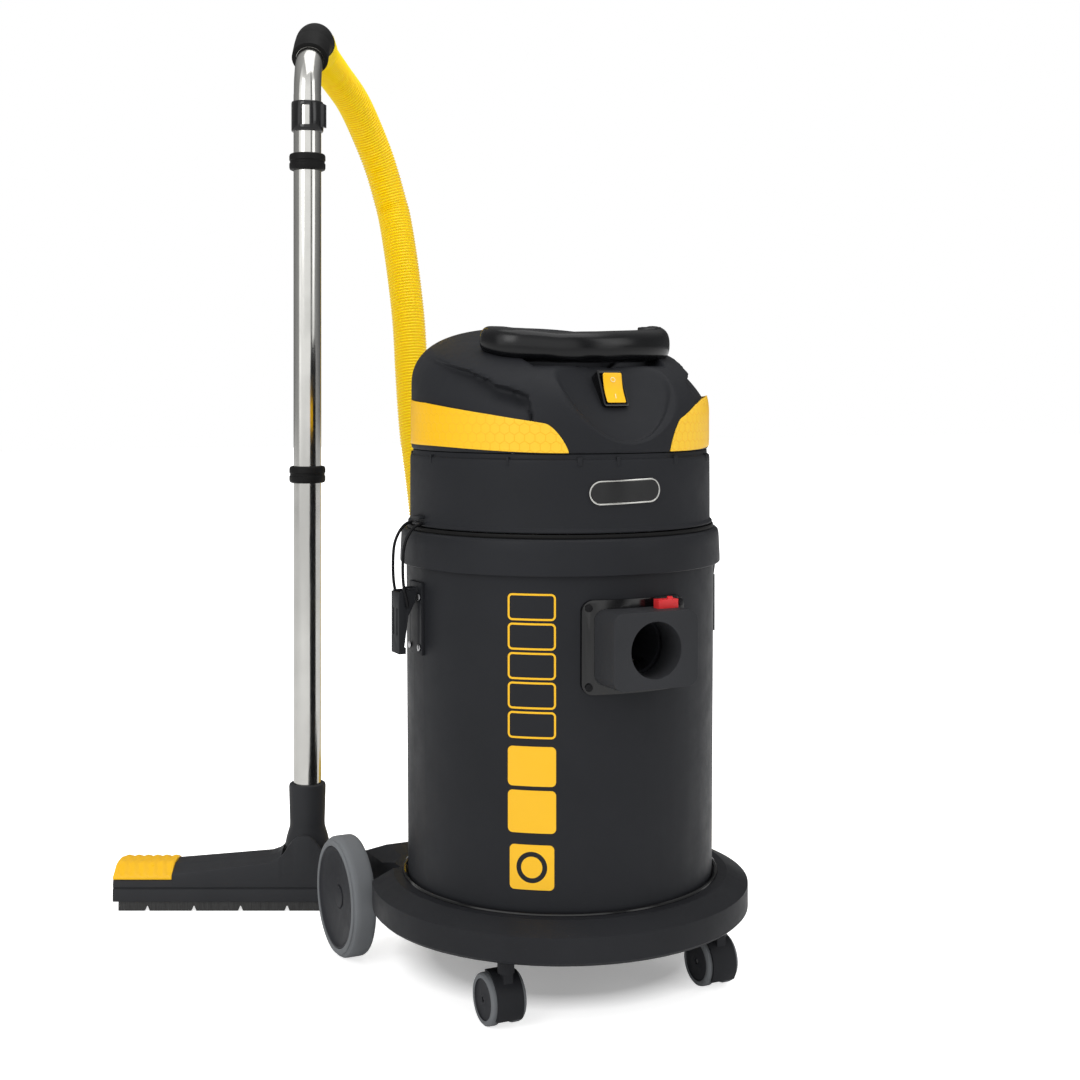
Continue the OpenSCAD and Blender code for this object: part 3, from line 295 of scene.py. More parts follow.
def bright_metal(name, tone, roughness, streak=0.04):
    """Plated or drawn metal with fine marks along its height."""
    net, shader = principled(name, {"Metallic": 1.0, "IOR": 1.5})
    place = net.place()
    drawn = net.noise(net.vector("MULTIPLY", place, (1800.0, 1800.0, 22.0)), 1.0)
    cloud = net.noise(place, 24.0, 3.0)
    shade = net.mix(net.ramp(cloud, 0.35, 0.7), (*tone, 1), (*(0.9 * t for t in tone), 1))
    rough = net.math("MULTIPLY_ADD", net.ramp(cloud, 0.3, 0.7, -1.0, 1.0), streak, roughness)
    rough = net.math("MULTIPLY_ADD", net.ramp(drawn, 0.3, 0.7, -1.0, 1.0), streak / 2, rough)
    net.finish(shader, shade, net.math("MAXIMUM", rough, 0.03), drawn, 0.15, 0.00002)


def hose_plastic(name, tone):
    """Vivid hose wall with painted light: paler crests as a painted highlight and darker valleys as
    painted shade, from the piece's own attribute.
    """
    net, shader = principled(name, {
        "IOR": 1.45, "Specular IOR Level": 0.25, "Subsurface Weight": 0.06,
        "Subsurface Radius": (0.004, 0.003, 0.001)})
    crest = net.add("ShaderNodeAttribute", attribute_name="crest").outputs["Fac"]
    place = net.place()
    cloud = net.noise(place, 30.0, 4.0)
    # Painted shade in the valleys between the ribs and a painted highlight on their crests
    deep = (tone[0] * 0.93, tone[1] * 0.80, tone[2] * 0.5, 1)
    pale = (min(1, tone[0] * 1.03), min(1, tone[1] * 1.1), tone[2] * 3, 1)
    colour = net.mix(net.ramp(crest, 0.1, 0.9), deep, pale)
    colour = net.mix(net.ramp(cloud, 0.45, 0.75, 0.0, 0.18), colour, (*(0.94 * t for t in tone), 1))
    net.finish(shader, colour, net.ramp(cloud, 0.3, 0.7, 0.30, 0.42), net.noise(place, 1400.0),
               0.3, 0.00002)


def bristle_fibre(name):
    """Black bristle packed in a strip, streaked along its height."""
    net, shader = principled(name, {"IOR": 1.5, "Sheen Weight": 0.2})
    fibre = net.noise(net.vector("MULTIPLY", net.place(), (1500.0, 1500.0, 60.0)), 1.0, 3.0)
    colour = net.mix(net.ramp(fibre, 0.35, 0.65), (0.006, 0.006, 0.006, 1),
                     (0.045, 0.045, 0.045, 1))
    net.finish(shader, colour, net.ramp(fibre, 0.3, 0.7, 0.5, 0.85), fibre, 0.9, 0.0008)


def make_materials():
    c = colours()
    low = {"Specular IOR Level": 0.11}
    lacquer = {"Specular IOR Level": 0.35}
    plastic("Satin black", c.body, 0.44, 1300, 0.010, 0.08, 0.10, **low)
    plastic("Head black", c.body, 0.50, 1500, 0.012, 0.06, 0.05, **low)
    plastic("Soft grey black", c.fittings, 0.50, 1300, 0.012, 0.08, 0.10, **low)
    plastic("Grained black", c.dolly, 0.46, 650, 0.09, 0.12, 0.25, **low)
    plastic("Gloss grip", c.grip, 0.20, 800, 0.05, 0.10, 0.2, **{"Specular IOR Level": 0.32})
    plastic("Gloss black", c.grip, 0.14, 1500, 0.004, 0.05, 0.15)
    plastic("Soft black", c.soft, 0.50, 1500, 0.012, 0.12, 0.10, **low)
    plastic("Tyre grey", c.wheel, 0.62, 900, 0.03, 0.08, 0.15, **low)
    plastic("Dish grey", c.dish, 0.48, 900, 0.02, 0.10, 0.2, **low)
    plastic("Inner grey", (0.18, 0.19, 0.20), 0.5)
    plastic("Yellow plastic", c.yellow, 0.33, 900, 0.008, 0.04, 0.0, **lacquer)
    plastic("Yellow print", c.yellow, 0.40, 1500, 0.004, 0.03, 0.0)
    honeycomb_plastic("Yellow honeycomb", c.yellow)
    plastic("Red plastic", c.red, 0.30, 900, 0.006, 0.05, 0.0, **lacquer)
    plastic("White mark", (0.90, 0.80, 0.45), 0.4, 1500, 0.002, 0.02, 0.0)
    bright_metal("Chrome", c.bright, 0.16)
    bright_metal("Steel", (0.50, 0.50, 0.51), 0.28)
    plastic("Dark wire", (0.008, 0.008, 0.009), 0.3, 1500, 0.004, **low)
    hose_plastic("Hose yellow", c.hose)
    plastic("Filter paper", (0.70, 0.67, 0.58), 0.8, 700, 0.1, 0.08, 0.0)
    bristle_fibre("Bristle")


def finish_of(name):
    return bpy.data.materials[name]


# ---------------------------------------------------------------- modelling helpers

def start_clean():
    """Object mode with nothing selected, so that an operator acts on the new piece alone."""
    if bpy.context.object and bpy.context.object.mode != "OBJECT":
        bpy.ops.object.mode_set(mode="OBJECT")
    bpy.ops.object.select_all(action="DESELECT")


def pick(piece):
    start_clean()
    piece.select_set(True)
    bpy.context.view_layer.objects.active = piece
    return piece


def choose(kind, test):
    """In edit mode, selects the vertices, edges or faces whose place passes the test."""
    bpy.ops.mesh.select_all(action="DESELECT")
    bpy.ops.mesh.select_mode(type=kind)
    mesh = bpy.context.object.data
    bm = bmesh.from_edit_mesh(mesh)
    group = {"VERT": bm.verts, "EDGE": bm.edges, "FACE": bm.faces}[kind]
    for part in group:
        part.select = test(part)
    bm.select_flush_mode()
    bmesh.update_edit_mesh(mesh)


def shape(piece, move):
    """Moves each vertex of a piece, from its old place to the place that move gives."""
    for vertex in piece.data.vertices:
        vertex.co = move(vertex.co)
    piece.data.update()


def lift(piece, height):
    shape(piece, lambda co: Vector((co.x, co.y, co.z + height)))


def from_front(turn, radius, z):
    """The place at a turn from the front, a distance from the axis and a height."""
    return Vector((radius * math.sin(turn), -radius * math.cos(turn), z))


def edit(piece):
    pick(piece)
    bpy.ops.object.mode_set(mode="EDIT")


def leave_edit():
    bpy.ops.object.mode_set(mode="OBJECT")
    return bpy.context.object


def select_everything():
    bpy.ops.mesh.select_all(action="SELECT")


def tidy_normals(piece, merge=0.01):
    edit(piece)
    select_everything()
    bpy.ops.mesh.remove_doubles(threshold=merge)
    bpy.ops.mesh.normals_make_consistent(inside=False)
    leave_edit()


def rounded(piece, width, segments=3, angle=32):
    """Bevels the sharp edges and applies the bevel."""
    pick(piece)
    bevel = piece.modifiers.new("Rounding", "BEVEL")
    bevel.width = width
    bevel.segments = segments
    bevel.limit_method = "ANGLE"
    bevel.angle_limit = math.radians(angle)
    bevel.use_clamp_overlap = True
    bevel.harden_normals = False
    bpy.ops.object.modifier_apply(modifier=bevel.name)


def joined(pieces):
    start_clean()
    for piece in pieces:
        piece.select_set(True)
    bpy.context.view_layer.objects.active = pieces[0]
    bpy.ops.object.join()
    return pieces[0]


def cut_across(piece, axis, places):
    """Cuts a piece's faces with planes that stand across an axis."""
    edit(piece)
    for place in places:
        select_everything()
        bpy.ops.mesh.bisect(plane_co=axis * place, plane_no=axis)
    leave_edit()


def settled(piece):
    """Applies a piece's place and turn to its mesh."""
    pick(piece)
    bpy.ops.object.transform_apply(location=True, rotation=True, scale=True)
    return piece


def set_down(piece, name, finish, body, replaces=(), place=AT_DRUM, angle=32):
    """Puts a piece shaped in millimetres into the frame and hands it to its body."""
    pick(piece)
    piece.data.transform(piece.matrix_world)
    piece.matrix_world = Matrix.Identity(4)
    piece.data.transform(place)
    piece.data.update()
    piece.name = name
    piece.data.name = name
    finishes = [finish] if isinstance(finish, str) else finish
    if finishes:
        piece.data.materials.clear()
        for one in finishes:
            piece.data.materials.append(finish_of(one))
    bpy.ops.object.shade_smooth_by_angle(angle=math.radians(angle))
    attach(piece, body)
    if replaces:
        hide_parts(*replaces)
    return piece


def fill_ends(*heights):
    """Fills the open loops that lie at the given heights."""
    for end in heights:
        choose("EDGE", lambda e: e.is_boundary and all(
            abs(v.co.z - end) < 1e-3 for v in e.verts))
        bpy.ops.mesh.edge_face_add()


def turned(profile, sides=None, closed=True):
    """A piece turned round Z: a circle extruded and scaled along (radius, height) points."""
    start_clean()
    radius, height = profile[0]
    bpy.ops.mesh.primitive_circle_add(vertices=sides or sizes().sides, radius=radius,
                                      location=(0, 0, 0), enter_editmode=True)
    bpy.ops.transform.translate(value=(0, 0, height))
    for r, z in profile[1:]:
        bpy.ops.mesh.extrude_edges_move(TRANSFORM_OT_translate={"value": (0, 0, z - height)})
        bpy.ops.transform.resize(value=(r / radius, r / radius, 1), center_override=(0, 0, z))
        radius, height = r, z
    if closed:
        choose("EDGE", lambda e: e.is_boundary)
        bpy.ops.mesh.bridge_edge_loops()
    select_everything()
    bpy.ops.mesh.normals_make_consistent(inside=False)
    return leave_edit()


def slab(size, centre, round_xy=0.0, segments=6):
    """A block with its upright edges rounded."""
    start_clean()
    bpy.ops.mesh.primitive_cube_add(size=1, location=(0, 0, 0), enter_editmode=True)
    bpy.ops.transform.resize(value=size)
    if round_xy:
        choose("EDGE", lambda e: abs(e.verts[0].co.z - e.verts[1].co.z) > 1e-4)
        bpy.ops.mesh.bevel(offset=round_xy, segments=segments, affect="EDGES")
    select_everything()
    bpy.ops.transform.translate(value=centre)
    return leave_edit()


def sleeve(sides, rows):
    """A closed tube of rows one apart, whose points are then moved to their places."""
    start_clean()
    bpy.ops.mesh.primitive_circle_add(vertices=sides, radius=1, enter_editmode=True)
    for _ in range(rows - 1):
        bpy.ops.mesh.extrude_edges_move(TRANSFORM_OT_translate={"value": (0, 0, 1)})
    fill_ends(0, rows - 1)
    return leave_edit()


def lofted(rows):
    """A solid through rows of points, each row going round once; its ends are closed."""
    sides, count = len(rows[0]), len(rows)
    piece = sleeve(sides, count)

    def place(co):
        k = round(math.atan2(co.y, co.x) / (2 * math.pi) * sides) % sides
        return rows[min(count - 1, max(0, round(co.z)))][k]
    shape(piece, place)
    tidy_normals(piece, 0.0005)
    return piece


def swept(path, half_wide, half_high, sides=24, up=Vector((0, 0, 1)), squareness=2.0):
    """A solid bar along a path; its ends are closed."""
    count = len(path)
    piece = sleeve(sides, count)
    rows = []
    for i, here in enumerate(path):
        ahead = (path[min(i + 1, count - 1)] - path[max(i - 1, 0)]).normalized()
        across = up.cross(ahead).normalized()
        rows.append((here, across, ahead.cross(across).normalized()))

    def place(co):
        i = min(count - 1, max(0, round(co.z)))
        here, across, above = rows[i]
        turn = math.atan2(co.y, co.x)
        a, b = (math.copysign(abs(part) ** (2.0 / squareness), part)
                for part in (math.cos(turn), math.sin(turn)))
        return here + a * half_wide[i] * across + b * half_high[i] * above
    shape(piece, place)
    tidy_normals(piece, 0.0005)
    return piece


def softened(node, width, finish, body, segments=3, angle=32, name=""):
    """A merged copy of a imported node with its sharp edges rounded; width is in millimetres."""
    name = name or node.capitalize()
    start_clean()
    piece = bpy.data.objects.new(name, frame["nodes"][node].data.copy())
    bpy.context.scene.collection.objects.link(piece)
    edit(piece)
    select_everything()
    bpy.ops.mesh.remove_doubles(threshold=0.00001)
    bpy.ops.mesh.dissolve_limited(angle_limit=math.radians(2))
    bpy.ops.mesh.customdata_custom_splitnormals_clear()
    leave_edit()
    if width:
        rounded(piece, width / 1000, segments, angle)
    return set_down(piece, name, finish, body, (node,), Matrix.Identity(4), angle)


# ---------------------------------------------------------------- camera, light and floor

class VACUUM_OT_camera(bpy.types.Operator):
    """Sets the camera at eye height in front of the machine's left side."""
    bl_idname = "vacuum.camera"
    bl_label = "Camera"

    def execute(self, context):
        data = bpy.data.cameras.new("Eye height")
        data.sensor_width = 36
        data.lens = 54.47
        data.shift_y = -0.1444
        data.clip_end = 60
        camera = bpy.data.objects.new("Eye height", data)
        camera.location = DRUM_AXIS + Vector((-0.8536, -1.6976, 0.678))
        camera.rotation_euler = (math.pi / 2, 0, -SET_YAW)
        context.scene.collection.objects.link(camera)
        context.scene.camera = camera
        return {"FINISHED"}


def soft_lamp(name, place, target, size, power):
    data = bpy.data.lights.new(name, "AREA")
    data.shape = "RECTANGLE"
    data.size, data.size_y = size
    data.energy = power
    lamp = bpy.data.objects.new(name, data)
    lamp.location = place
    lamp.rotation_euler = (Vector(target) - Vector(place)).to_track_quat("-Z", "Y").to_euler()
    bpy.context.scene.collection.objects.link(lamp)


def lay_floor():
    """A pale floor that glows for the camera; the glow is turned down close to the machine, a
    painted shadow round the dolly on top of the floor's own shadow.
    """
    start_clean()
    bpy.ops.mesh.primitive_plane_add(size=30, location=(0, 0, -0.0005))
    floor = bpy.context.object
    floor.name = "Floor"
    net, shader = principled("Pale floor", {
        "Base Color": (0.90, 0.90, 0.90, 1), "Roughness": 0.9, "Specular IOR Level": 0.0})
    rays = net.add("ShaderNodeLightPath").outputs
    away = net.vector("DISTANCE", net.place(), (DRUM_AXIS.x + 0.03, DRUM_AXIS.y + 0.06, 0), 1)
    # Painted shadow: the glow is 0.25 within 0.15 m of a point just behind the drum axis, 0.72
    # beyond 0.20 m and 1.0 beyond 0.80 m
    near = net.ramp(away, 0.15, 0.20, 0.25, 0.72)
    bright = net.math("ADD", near, net.ramp(away, 0.50, 0.80, 0.0, 0.28))
    mirrored = net.math("MAXIMUM", rays["Is Glossy Ray"], rays["Is Transmission Ray"])
    level = net.math("MULTIPLY", rays["Is Camera Ray"], bright)
    level = net.math("MULTIPLY_ADD", mirrored, 0.1, level)
    glow = net.add("ShaderNodeEmission", ins={"Color": (1, 1, 1, 1), "Strength": level})
    both = net.add("ShaderNodeAddShader", ins={0: shader.outputs[0], 1: glow.outputs[0]})
    out = next(n for n in net.tree.nodes if n.type == "OUTPUT_MATERIAL")
    net.tree.links.new(both.outputs[0], out.inputs[0])
    floor.data.materials.append(finish_of("Pale floor"))


# Brightness of the studio's walls by degrees round the floor, 0 in front of the machine
STUDIO_WALLS = [
    (-180, 0.20), (-130, 0.34), (-94, 0.40), (-86, 1.6), (-74, 1.6), (-68, 1.3), (6, 1.3),
    (12, 0.20), (20, 0.15), (25, 1.5), (36, 1.5), (43, 0.42), (90, 0.22), (120, 0.10), (180, 0.10)]


def make_studio():
    """A world of soft grey walls, seen white by the camera."""
    world = bpy.data.worlds.new("Studio")
    bpy.context.scene.world = world
    world.use_nodes = True
    world.node_tree.nodes.clear()
    net = Net(world.node_tree)
    seen = net.add("ShaderNodeLightPath").outputs
    toward = net.parts(net.add("ShaderNodeTexCoord").outputs["Generated"])
    turn = net.math("ARCTAN2", toward[0], net.math("MULTIPLY", toward[1], -1.0))
    bands = net.add("ShaderNodeValToRGB", ins={0: net.ramp(turn, -math.pi, math.pi)})
    marks = bands.color_ramp.elements
    for angle, _ in STUDIO_WALLS[1:-1]:
        marks.new((angle + 180) / 360)
    for mark, (_, level) in zip(marks, STUDIO_WALLS):
        mark.color = (level, level, level, 1)
    above = net.ramp(toward[2], 0.35, 0.9)
    studio = net.mix(above, bands.outputs[0], (0.60, 0.60, 0.60, 1))
    light = net.mix(seen["Is Glossy Ray"], (0.80, 0.80, 0.80, 1), studio)
    light = net.mix(seen["Is Camera Ray"], light, (1, 1, 1, 1))
    back = net.add("ShaderNodeBackground", ins={"Color": light, "Strength": 1.0})
    out = net.add("ShaderNodeOutputWorld")
    net.tree.links.new(back.outputs[0], out.inputs[0])


class VACUUM_OT_stage(bpy.types.Operator):
    """Adds the pale floor, the world and the soft lamps."""
    bl_idname = "vacuum.stage"
    bl_label = "Stage"

    def execute(self, context):
        lay_floor()
        make_studio()
        x, y = DRUM_AXIS.x, DRUM_AXIS.y
        soft_lamp("Left lamp", (x - 2.6, y - 1.4, 2.0), (x, y, 0.5), (1.2, 1.8), 20)
        soft_lamp("Right lamp", (x + 1.9, y - 2.4, 1.9), (x, y, 0.5), (1.2, 1.8), 9)
        soft_lamp("Top lamp", (x, y - 0.3, 3.0), (x, y, 0.3), (2.2, 2.2), 26)
        return {"FINISHED"}


class VACUUM_OT_materials(bpy.types.Operator):
    """Makes the plastics, metals and rubber."""
    bl_idname = "vacuum.materials"
    bl_label = "Materials"

    def execute(self, context):
        make_materials()
        return {"FINISHED"}


# ---------------------------------------------------------------- hose

def curve_through(points, steps):
    """Catmull-Rom curve through points."""
    out = []
    last = len(points) - 1
    for i in range(last):
        before = points[i - 1] if i else 2 * points[0] - points[1]
        after = points[i + 2] if i + 2 <= last else 2 * points[last] - points[last - 1]
        a, b = points[i], points[i + 1]
        for s in range(steps):
            t = s / steps
            bend = (2 * before - 5 * a + 4 * b - after) * t * t
            out.append(0.5 * (2 * a + (b - before) * t + bend
                              + (3 * a - before - 3 * b + after) * t ** 3))
    out.append(points[last])
    return out


def evenly(points, count):
    """count + 1 places at equal distances along a line of points, and its length."""
    runs = [0.0]
    for a, b in zip(points, points[1:]):
        runs.append(runs[-1] + (b - a).length)
    out, k = [], 0
    for j in range(count + 1):
        d = runs[-1] * j / count
        while k < len(points) - 2 and runs[k + 1] < d:
            k += 1
        out.append(points[k].lerp(points[k + 1], (d - runs[k]) / (runs[k + 1] - runs[k])))
    return out, runs[-1]


# Where the upper tube bends, the bend's radius and turn, its straight end, and the elbow's bend
TUBE_BEND_Z, TUBE_BEND, TUBE_TURN, TUBE_END = 1056, 70, 48, 30
ELBOW_BEND, ELBOW_TURN = 60, 100


def elbow_exit():
    """End of the rubber elbow and its direction, in metres from the drum axis."""
    bend, tilt = math.radians(TUBE_TURN), math.radians(ELBOW_TURN)
    along = (TUBE_BEND * (1 - math.cos(bend)) + TUBE_END * math.sin(bend)
             + ELBOW_BEND * (math.cos(bend) - math.cos(tilt)))
    height = (TUBE_BEND_Z + TUBE_BEND * math.sin(bend) + TUBE_END * math.cos(bend)
              + ELBOW_BEND * (math.sin(tilt) - math.sin(bend)))
    heading = math.pi / 2 - SET_YAW
    ahead = Vector((math.cos(heading), math.sin(heading), 0))
    start = WAND_AXIS - DRUM_AXIS + ahead * along / 1000 + Vector((0, 0, height / 1000))
    return start, ahead * math.sin(tilt) + Vector((0, 0, math.cos(tilt)))


# Route in metres from the drum axis: over the top, down behind the drum, round on the floor
HOSE_ROUTE = [
    (-0.095, 0.526, 1.118), (-0.058, 0.555, 1.089), (-0.028, 0.577, 1.050), (-0.003, 0.589, 1.003),
    (0.013, 0.589, 0.952), (0.019, 0.583, 0.920), (0.024, 0.566, 0.850), (0.027, 0.549, 0.770),
    (0.026, 0.534, 0.690), (0.026, 0.518, 0.610), (0.030, 0.501, 0.530), (0.032, 0.484, 0.450),
    (0.028, 0.472, 0.370), (0.026, 0.467, 0.290), (0.026, 0.466, 0.220), (0.042, 0.458, 0.134),
    (0.087, 0.436, 0.069), (0.152, 0.404, 0.032), (0.200, 0.381, 0.026), (0.270, 0.364, 0.025),
    (0.345, 0.375, 0.025), (0.409, 0.414, 0.025), (0.453, 0.476, 0.025), (0.470, 0.550, 0.025),
    (0.456, 0.625, 0.025), (0.414, 0.688, 0.025), (0.351, 0.730, 0.025)]
HOSE_END = Vector((0.250, 0.752, 0.030))
HOSE_END_WAY = Vector((-0.096, 0.020, 0)).normalized()


# Radius of the hose's bore in metres, rings of points in a rib and points in a ring
HOSE_BORE = 0.019
RIB_RINGS = 4
HOSE_SIDES = 28


def hose_line():
    start, way = elbow_exit()
    straight = 0.0245
    points = [start + way * straight * k for k in range(3)]
    points += [Vector(p) for p in HOSE_ROUTE]
    points += [HOSE_END - HOSE_END_WAY * straight * k for k in (2, 1, 0)]
    return [p + DRUM_AXIS for p in curve_through(points, 10)]


def hose_rings(bm, crest, places):
    """Rings of points along the hose's line; crest is 1 on top of a rib and 0 between two."""
    s = sizes()
    count = len(places)
    normal = Vector((0, 0, 1))
    rows = []
    for i, here in enumerate(places):
        ahead = (places[min(i + 1, count - 1)] - places[max(i - 1, 0)]).normalized()
        normal = (normal - ahead * normal.dot(ahead)).normalized()
        side = ahead.cross(normal)
        near_end = min(1.0, min(i, count - 1 - i) / (2.0 * RIB_RINGS))
        row = []
        for k in range(HOSE_SIDES):
            turn = 2 * math.pi * k / HOSE_SIDES
            wave = 0.5 + 0.5 * math.cos(2 * math.pi * i / RIB_RINGS - turn)
            wave = 1 - (1 - wave ** 1.4) * near_end
            radius = s.hose_width / 2 - s.rib_height * (1 - wave) * 0.98
            v = bm.verts.new(here + radius * (math.cos(turn) * normal + math.sin(turn) * side))
            v[crest] = wave
            row.append(v)
        rows.append(row)
    return rows


class VACUUM_OT_hose(bpy.types.Operator):
    """Builds the ribbed hose along its route."""
    bl_idname = "vacuum.hose"
    bl_label = "Hose"

    def execute(self, context):
        s = sizes()
        line = hose_line()
        length = evenly(line, 10)[1]
        places, _ = evenly(line, round(length / s.rib_pitch) * RIB_RINGS)
        start_clean()
        mesh = bpy.data.meshes.new("Hose")
        piece = bpy.data.objects.new("Hose", mesh)
        context.scene.collection.objects.link(piece)
        bm = bmesh.new()
        crest = bm.verts.layers.float.new("crest")
        rows = hose_rings(bm, crest, places)
        for end, row in ((0, rows[0]), (-1, rows[-1])):
            here = places[end]
            inner = [bm.verts.new(here + (v.co - here) * (HOSE_BORE / (v.co - here).length))
                     for v in row]
            way = (places[1] - places[0]) if end == 0 else (places[-2] - places[-1])
            deep = [bm.verts.new(v.co + way.normalized() * 0.02) for v in inner]
            for a, b in ((row, inner), (inner, deep)):
                for k in range(HOSE_SIDES):
                    m = (k + 1) % HOSE_SIDES
                    quad = (a[k], b[k], b[m], a[m])
                    bm.faces.new(quad if end == 0 else quad[::-1])
            bm.faces.new(deep if end == -1 else deep[::-1])
        for a, b in zip(rows, rows[1:]):
            for k in range(HOSE_SIDES):
                m = (k + 1) % HOSE_SIDES
                bm.faces.new((a[k], a[m], b[m], b[k]))
        bmesh.ops.recalc_face_normals(bm, faces=bm.faces)
        bm.to_mesh(mesh)
        bm.free()
        set_down(piece, "Hose", "Hose yellow", "wand", ("hose",),
                 Matrix.Identity(4), 60)
        cuff = softened("hose_cuff", 1.4, "Soft black", "wand")
        path, _ = evenly(line, 160)
        return {"FINISHED"}


# ---------------------------------------------------------------- head

# The dome over the cover's foot: height of its shoulder, slope to the rear and rise
SHOULDER, DOME_SLOPE, DOME_RISE = 60, 0.2, 67
# The sloping face: its middle, its slope, how little it curves to the sides, and the round bowl
# sunk in it
FACE_Y, FACE_Z, FACE_SLOPE, FACE_CURVE = -124, 671, 1.2, 210
BOWL_R, BOWL_STRETCH, BOWL_DEPTH, BOWL_EDGE = 73, 1.562, 5.5, 9


def dome_height(x, y):
    q = min(1.0, math.hypot(x, y) / COVER_R)
    return COVER_Z + SHOULDER + DOME_SLOPE * y + DOME_RISE * max(0.0, 1 - q ** 3.4) ** 0.44


def face_height(x, y):
    inside = BOWL_R - math.hypot(x, BOWL_STRETCH * (y - FACE_Y))
    bowl = BOWL_DEPTH * smooth(inside / BOWL_EDGE)
    return FACE_Z + FACE_SLOPE * (y - FACE_Y) + x * x / FACE_CURVE - bowl


def lower_of(a, b, blend):
    """The lower of two heights with a soft crease between them."""
    h = max(0.0, min(1.0, 0.5 + 0.5 * (b - a) / blend))
    return b + (a - b) * h - blend * h * (1 - h)


def between(x, points):
    """Value at x on a line of (x, value) points."""
    if x <= points[0][0]:
        return points[0][1]
    for (a, b), (c, d) in zip(points, points[1:]):
        if x <= c:
            return b + (d - b) * (x - a) / (c - a)
    return points[-1][1]


def smooth(x):
    x = max(0.0, min(1.0, x))
    return x * x * (3 - 2 * x)


# Height of the side ledge, and how far the wall steps in below it, by degrees from the front
LEDGE = [(36.4, 640), (37.2, 655), (39.1, 669), (45.5, 675), (53.6, 680), (56.3, 685), (68.1, 695),
         (81.9, 702), (98.1, 711), (112, 717)]
STEP_IN = [(35.2, 0), (38.8, 11), (43, 15), (60, 15), (80, 12), (98, 5), (112, 0)]


def cover_height(x, y):
    return lower_of(dome_height(x, y), face_height(x, y), 4.0)


def skin_radius(turn, z):
    """Radius of the cover's outer skin at a height, in a direction from the front."""
    low, high = 60.0, COVER_R
    x, y = math.sin(turn), -math.cos(turn)
    if cover_height(high * x, high * y) >= z:
        return high
    for _ in range(24):
        middle = (low + high) / 2
        if cover_height(middle * x, middle * y) >= z:
            low = middle
        else:
            high = middle
    return low


def under_ledge(co):
    """Steps the side walls in below the ledge that runs from the front to the rear."""
    turn = abs(math.degrees(math.atan2(co.x, -co.y)))
    deep = between(turn, STEP_IN)
    if deep <= 0:
        return co
    ledge = between(turn, LEDGE) + (10 if co.x > 0 else 0)
    below = ledge - co.z
    if below <= 0:
        return co
    back = smooth((below - 9) / max(8.0, ledge - 650))
    deep *= smooth(below / 7) * (1 - back)
    radius = co.xy.length
    return Vector((co.x * (1 - deep / radius), co.y * (1 - deep / radius), co.z))


# The hollow under the grip: its middle, radius and half length; the lip before it: height, half
# length and front edge
HOLLOW_Y, HOLLOW_Z, HOLLOW_R, HOLLOW_HALF = -62, 706, 36, 66
LIP_Z, LIP_HALF, LIP_FRONT = 698, 82, -112


def hand_hollow(x, y, z):
    """The cover's height with the hand hollow sunk under the grip."""
    aside = abs(y - HOLLOW_Y)
    floor = HOLLOW_Z - math.sqrt(max(0.0, HOLLOW_R ** 2 - min(aside, HOLLOW_R) ** 2))
    floor += 5 * max(0.0, aside - HOLLOW_R) + 3 * max(0.0, abs(x) - HOLLOW_HALF)
    if y < HOLLOW_Y:
        lip = LIP_Z + 2.5 * max(0.0, abs(x) - LIP_HALF) + 6 * max(0.0, LIP_FRONT - y)
        floor = min(floor, lip)
    return lower_of(z, floor, 5.0)


class VACUUM_OT_cover(bpy.types.Operator):
    """Builds the domed cover with its scooped front, side creases and hand hollow."""
    bl_idname = "vacuum.cover"
    bl_label = "Domed cover"

    def execute(self, context):
        edge = [(170.6, 0), (171.6, 1.5), (COVER_R, 4)]
        side = [(COVER_R, t) for t in range(8, 101, 4)]
        top = [(COVER_R * (1 - 0.0004 * k * k), 100) for k in range(1, 20)]
        top += [(COVER_R * (0.846 - 0.0175 * k), 100) for k in range(48)]
        cover = turned(edge + side + top, 360, False)
        edit(cover)
        choose("EDGE", lambda e: e.is_boundary and e.verts[0].co.xy.length < 20)
        bpy.ops.mesh.edge_face_add()
        leave_edit()

        def place(co):
            if co.z < 3.9:
                return Vector((co.x, co.y, COVER_Z + 0.4 + co.z))
            t = (co.z - 4) / 96
            z = COVER_Z + 4.4 + t * (cover_height(co.x, co.y) - COVER_Z - 4.4)
            if t > 0.999:
                z = hand_hollow(co.x, co.y, z)
            return under_ledge(Vector((co.x, co.y, z)))
        shape(cover, place)
        tidy_normals(cover)
        set_down(cover, "Cover", "Head black", "head", ("head_cover",), angle=75)
        return {"FINISHED"}


# The grip's bow seen from above: half width, place of its ends, reach to the front
GRIP_REACH, GRIP_BACK, GRIP_BOW = 102, -28, 63
# Middle height and half height of the grip along its bow, from the left end to the right end
GRIP_RISE = [(-1, 728), (-0.7, 722.5), (-0.3, 718.5), (0, 719), (0.4, 721), (0.8, 724), (1, 727)]
GRIP_HALF = [(-1, 15), (-0.8, 17.5), (-0.55, 18.5), (-0.3, 17), (0.1, 18), (0.5, 18.5), (0.8, 20),
             (1, 20)]


def grip_path(count=64):
    out = []
    for i in range(count + 1):
        t = 2 * i / count - 1
        w = math.copysign(abs(t) ** 0.9, t)
        turn = math.radians(90 * w)
        out.append(Vector((GRIP_REACH * math.sin(turn),
                           GRIP_BACK - GRIP_BOW * max(0.0, math.cos(turn)) ** 0.8,
                           between(w, GRIP_RISE))))
    return out


